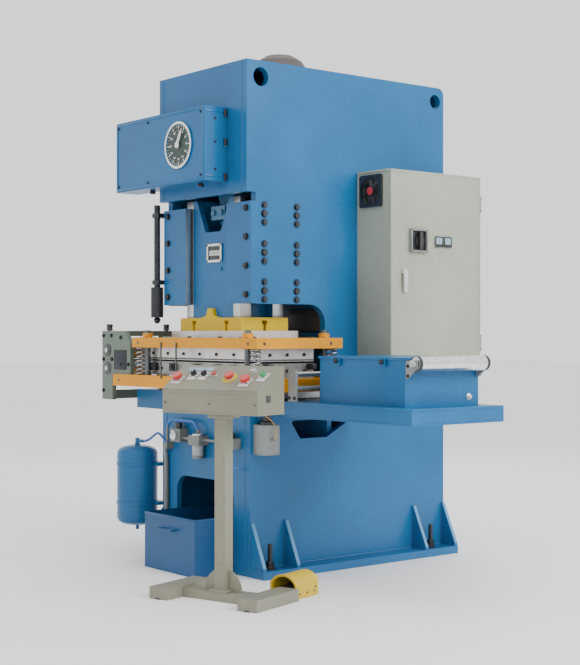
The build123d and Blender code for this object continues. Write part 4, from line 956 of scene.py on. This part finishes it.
controls = {"palm_left": (-0.232, -0.02), "selector_left": (-0.16, 0.015),
    "selector_right": (-0.1, 0.015), "stop": (0.06, -0.005), "palm_right": (0.165, -0.03),
    "start": (0.236, 0.015)}
lamps = {"lamp_lens_red": (red_lens, (-0.04, 0.015)), "lamp_lens_white": (white_lens, (0.165, 0.045))}
rings = Piece("control_rings", chrome)
for u, v in controls.values():
    rings.place = on_panel(u, v)
    rings.hoop((0, 0, 0), Z, 0.0185, 0.0112, 0.0028, 32)
    rings.hoop((0, 0, 0.0028), Z, 0.0165, 0.0112, 0.0012, 32)
for finish, (u, v) in lamps.values():
    rings.place = on_panel(u, v)
    rings.hoop((0, 0, 0), Z, 0.017, 0.0141, 0.007, 32)
rings.done()
for name, (finish, (u, v)) in lamps.items():
    single(name, finish, Piece.lathe, [(0.0138, 0.0118), (0.0138, 0.0145), (0.0122, 0.0165), (0, 0.0172)],
        (0, 0, 0), Z, 28, place=on_panel(u, v))
single("emergency_stop_disc", foot_yellow, Piece.hoop, (0, 0, 0), Z, 0.036, 0.0188, 0.0018, 40,
    place=on_panel(*controls["stop"]))
plate_hole, plate_thick = 0.0192, 0.0012
plates = Piece("control_plates", white)
for name, (u, v) in controls.items():
    if name == "stop":
        continue
    plates.place = on_panel(u, v)
    reach = 0.026 if name.startswith("palm") else 0.0235
    plates.box((-reach, -0.036, 0), (reach, -plate_hole, plate_thick), 0.0004)
    plates.box((-reach, plate_hole, 0), (reach, 0.0245, plate_thick), 0.0004)
    for side in (-1, 1):
        x0, x1 = sorted((side * plate_hole, side * reach))
        plates.box((x0, -0.019, 0), (x1, 0.019, plate_thick), 0.0004)
plates.done()
single("blank_legend", legend_blue, Piece.box, (-0.085, -0.013, 0), (0.06, 0.013, 0.0012), 0.0005,
    place=on_panel(-0.14, 0.066))
for name, selector in (("selector_marks", "selector_left"), ("selector_marks_right", "selector_right")):
    single(name, white, Piece.box, (-0.0012, -0.002, 0.0244), (0.0012, 0.012, 0.025), 0.0002,
        body=selector, place=on_panel(*controls[selector]))
console_half = 0.272
trim = Piece("console_trim", drab, place=console)
trim.box((-console_half - 0.002, panel_front - 0.002, 0.8565), (console_half + 0.002, 0.097, 0.864),
    0.0015)
trim.box((-console_half, panel_front - 0.0025, 0.952), (console_half, panel_front + 0.001, 0.962),
    0.0012)
trim.box((-0.055, -0.055, 0.835), (0.055, 0.055, 0.8575), 0.004)
trim.box((-0.05, -0.05, 0.04), (0.05, 0.05, 0.05), 0.003)
trim.done()
screws = Piece("console_screws", cast, place=console)
for x in (-0.255, 0, 0.255):
    screws.socket_screw((x, panel_front - hair, 0.905), -Y, 0.0045, 0.003)
screws.box((console_half - 0.001, -0.045, 0.915), (console_half + 0.0075, -0.02, 0.945), 0.002)
screws.disc((console_half + 0.006, -0.0325, 0.93), X, 0.008, 0.004, 24)
screws.done()
post_side, post_foot = 0.031, 0.051
welds = Piece("console_welds", drab, place=console)
for x in (-post_side, post_side):
    welds.bead((x, -0.03, post_foot), (x, 0.03, post_foot), 0.003)
for y in (-post_side, post_side):
    welds.bead((-0.03, y, post_foot), (0.03, y, post_foot), 0.003)
welds.done()
caps = Piece("console_feet_caps", rubber, place=console)
for x in (-0.2525, 0.2525):
    for y in (-0.15, 0.15):
        caps.disc((x, y, 0.0), Z, 0.022, 0.004, 24)
caps.done()

# Foot switch: rolled rim and screws of the hood, rubber tread of the pedal
pedal_x, pedal_y = 0.215, 0.265
wire = 0.003
arch_radius, arch_middle = 0.0813, 0.0287
arch = [(0.07, 0.004), (0.07, 0.04)]
turns = [1.04 - 0.08 * k for k in range(27)]
arch += [(arch_radius * sin(a), arch_middle + arch_radius * cos(a)) for a in turns]
arch += [(-0.07, 0.04), (-0.07, 0.004)]
hood = Piece("foot_switch_rim", foot_yellow, place=console)
for (x0, z0), (x1, z1) in zip(arch, arch[1:]):
    start, run = Vector((pedal_x + x0, pedal_y - 0.095, z0)), Vector((x1 - x0, 0, z1 - z0))
    reach = run.length + 0.0006
    hood.lathe([(0, 0), (wire, 0), (wire, reach), (0, reach)], start, run.normalized(), 8)
hood.done()
screws = Piece("foot_switch_screws", dark_steel, place=console)
for y in (-0.06, 0.0, 0.06):
    for side in (-1, 1):
        screws.socket_screw((pedal_x + side * 0.0695, pedal_y + y, 0.022), side * X, 0.0045, 0.003)
screws.done()
tread = Piece("pedal_tread", rubber, "pedal", console)
for k in range(6):
    y = pedal_y - 0.07 + 0.02 * k
    tread.block((pedal_x, y, 0.047), (0.045, 0.005, 0.0015), 0.001)
tread.done()

# Shelves, oil box and guide roller: bolts, folded rims, lid pulls, drain plug and end bands
shelf_front, shelf_back, shelf_end = shelf_low.y, shelf_high.y, shelf_high.x
bolts = Piece("shelf_bolts", dark_steel)
for x in (0.605, 0.645):
    bolts.hex_bolt((x, shelf_front + 0.0025, 0.905), -Y, 0.007, 0.005)
for y, axis in ((0.187, -Y), (0.658, Y)):
    for z in (1.03, 1.075):
        bolts.hex_bolt((1.362, y, z), axis, 0.006, 0.005)
bolts.done()
rims = Piece("shelf_rims", blue)
for z0, z1 in ((0.809, 0.817), (0.8765, 0.8865)):
    rims.box((outer + 0.002, shelf_front - 0.0025, z0), (shelf_end + 0.0025, shelf_front + 0.0015, z1),
        0.0012)
    rims.box((shelf_end - 0.0015, shelf_front + 0.003, z0),
        (shelf_end + 0.0028, shelf_back - 0.002, z1), 0.0012)
rims.done()
pulls = Piece("oil_lid_pulls", dark_steel, "oil_lid")
for x in (0.885, 1.206):
    pulls.lathe([(0, 0), (0.01, 0), (0.012, 0.004), (0.012, 0.01), (0.009, 0.013), (0, 0.014)],
        (x, 0.171, 1.092), -Y, 20)
pulls.done()
single("oil_box_drain", chrome, Piece.hex_bolt, (1.3455, 0.6, 0.925), X, 0.012, 0.01)
bands = Piece("guide_roller_ends", rubber, "guide_roller")
for y in (0.196, 0.636):
    bands.hoop((1.4, y, 1.085), Y, 0.0356, 0.0348, 0.018, 40)
bands.done()

# Left roll unit: bearing covers, bolts, knobs of the spindles and the dark plate
roll_x = -0.84
feed_faces = ((feed_low.y + 0.0002, -Y), (feed_high.y - 0.0002, Y))
covers = Piece("roll_bearing_covers", cast)
for z in (1.026, 1.128):
    for y, axis in feed_faces:
        covers.hoop((roll_x, y, z), axis, 0.034, 0.0158, 0.006, 32)
covers.done()
bolts = Piece("roll_unit_bolts", dark_steel)
for x, z in ((-0.885, 1.077), (-0.795, 1.077), (-0.885, 0.9), (-0.885, 1.21), (-0.7, 1.05), (-0.62, 1.05),
    (-0.7, 1.2), (-0.8, 1.21)):
    for y, axis in feed_faces:
        bolts.hex_bolt((x, y, z), axis, 0.009, 0.007)
bolts.done()
spindles = Piece("roll_unit_knobs", black)
for y in (feed_low.y + 0.0125, feed_high.y - 0.0125):
    spindles.lathe([(0, 0), (0.0195, 0), (0.0195, 0.006), (0.017, 0.009), (0.017, 0.02), (0.019, 0.023),
        (0.019, 0.032), (0.015, 0.036), (0, 0.036)], (roll_x, y, 1.24), Z, 12)
spindles.done()
single("roll_unit_plate", dark_steel, Piece.box, (-0.77, feed_low.y - 0.0035, 1.02),
    (-0.64, feed_low.y + hair, 1.13), 0.002)

# Rear guard: hoods over the slots, and screws round its edge
hood_half = 0.108
hood_profile = ((0.0002, 0.015), (0.012, -0.006), (0.0105, -0.009), (0, 0.01))
hoods = Piece("rear_louvre_hoods", blue)
for centre in (1.7, 0.7):
    for row in range(6):
        z = centre + (row - 2.5) * 0.07
        for x in (-0.15, 0.15):
            outline = [(x - hood_half, guard_back + back, z + up) for back, up in hood_profile]
            hoods.loft(outline, (2 * hood_half, 0, 0))
hoods.done()
screws = Piece("rear_guard_screws", dark_steel)
for x in (-0.335, 0.335):
    for k in range(9):
        screws.socket_screw((x, guard_back - 0.0002, 0.12 + 0.29 * k), Y, 0.007, 0.005)
screws.done()

# Levelling nuts, lubricator with its line, crown cap screws, ribbed barrel of the swing post, scrap bin rim
nuts = Piece("levelling_nuts", dark_steel)
for x in (-0.45, 0.45):
    for y in (0.105, 1.23):
        nuts.hoop((x, y, 0.04), Z, 0.03, 0.0125, 0.003, 28)
        nuts.lathe([(0.0118, 0), (0.0196, 0), (0.0202, 0.002), (0.0202, 0.012), (0.0196, 0.014),
            (0.0118, 0.014)], (x, y, 0.066), Z, 6)
nuts.done()
lubricator_y = 0.088
single("lubricator_head", black, Piece.lathe, [(0, 0), (0.034, 0), (0.036, 0.003), (0.036, 0.014),
    (0.028, 0.018), (0.0225, 0.02), (0.0225, 0.039), (0.018, 0.0398), (0, 0.0398)],
    (0.445, lubricator_y, 0.765), Z, 32)
bands = Piece("lubricator_bands", grey)
for z in (0.757, 0.6145):
    bands.box((outer + hair, lubricator_y - 0.0475, z), (0.4905, lubricator_y + 0.0475, z + 0.0085),
        0.002)
bands.done()
pipe("lubrication_line", "frame", bronze, [(0.4975, lubricator_y, 0.69), (0.515, lubricator_y, 0.69),
    (0.52, lubricator_y, 0.72), (0.515, 0.09, 0.77), (0.46, 0.065, 0.815), (0.412, 0.06, 0.83),
    (0.399, 0.06, 0.86), (0.399, 0.062, 0.95), (0.399, 0.064, 1.0)], 0.003)
cap_y, cap_circle = 0.52, 0.158
screws = Piece("crown_cap_screws", dark_steel)
for k in range(8):
    angle = 2 * pi * (k + 0.5) / 8
    place = (cap_circle * cos(angle), cap_y + cap_circle * sin(angle), frame_top + 0.0118)
    screws.hex_bolt(place, Z, 0.007, 0.006)
screws.done()
ribs = [(0.0348 if k % 2 else 0.0335, 0.16 - 0.004 * k) for k in range(1, 38)]
single("swing_post_barrel", dark_steel, Piece.lathe, [(0.017, 0.165), *ribs, (0.017, 0.004)],
    (-0.436, 0.01, 1.31), Z, 32)
rim_foot, rim_head = 0.278, 0.2905
rim = Piece("scrap_bin_rim", bin_blue, "bin")
for y in (-0.2125, 0.3265):
    rim.box((-0.2145, y - hair, rim_foot), (0.2445, y + 0.0045, rim_head), 0.002)
for x in (-0.2145, 0.2405):
    rim.box((x - hair, -0.208, rim_foot), (x + 0.0045, 0.322, rim_head), 0.002)
rim.done()

# Floor and light
ground = bpy.data.meshes.new("ground")
sheet = bmesh.new()
bmesh.ops.create_grid(sheet, x_segments=2, y_segments=2, size=40)
sheet.to_mesh(ground)
sheet.free()
floor_finish, floor_tree, floor_shader = nodes_of("floor_pale")
floor_tone = ramp(floor_tree, noise(floor_tree, 0.6, 3), 0.3, 0.7, (0.9, 0.9, 0.9), (0.92, 0.92, 0.92))
floor_tree.links.new(floor_tone, floor_shader.inputs["Base Color"])
floor_shader.inputs["Roughness"].default_value = 0.75
ground.materials.append(floor_finish)
floor = linked("floor", ground)
floor.location = (0, 0, -0.001)

world = bpy.data.worlds.new("studio")
world.use_nodes = True
world.node_tree.nodes["Background"].inputs["Color"].default_value = (0.96, 0.965, 0.97, 1)
world.node_tree.nodes["Background"].inputs["Strength"].default_value = 1.45
bpy.context.scene.world = world


def softbox(name, place, target, size, power):
    """A large soft lamp that faces a point."""
    data = bpy.data.lights.new(name, "AREA")
    data.shape = "RECTANGLE"
    data.size, data.size_y = size
    data.energy = power
    made = linked(name, data)
    made.location = place
    made.rotation_euler = (Vector(target) - Vector(place)).to_track_quat("-Z", "Y").to_euler()


softbox("key_right", (6.5, 1.5, 4.6), (0.4, 0.6, 1.2), (3.5, 3.0), 330)
softbox("top", (0, 0.5, 6.0), (0, 0.5, 1.0), (4.0, 4.0), 60)
softbox("rear", (-4.5, 4.5, 3.5), (0, 0.8, 1.2), (3.0, 2.5), 60)
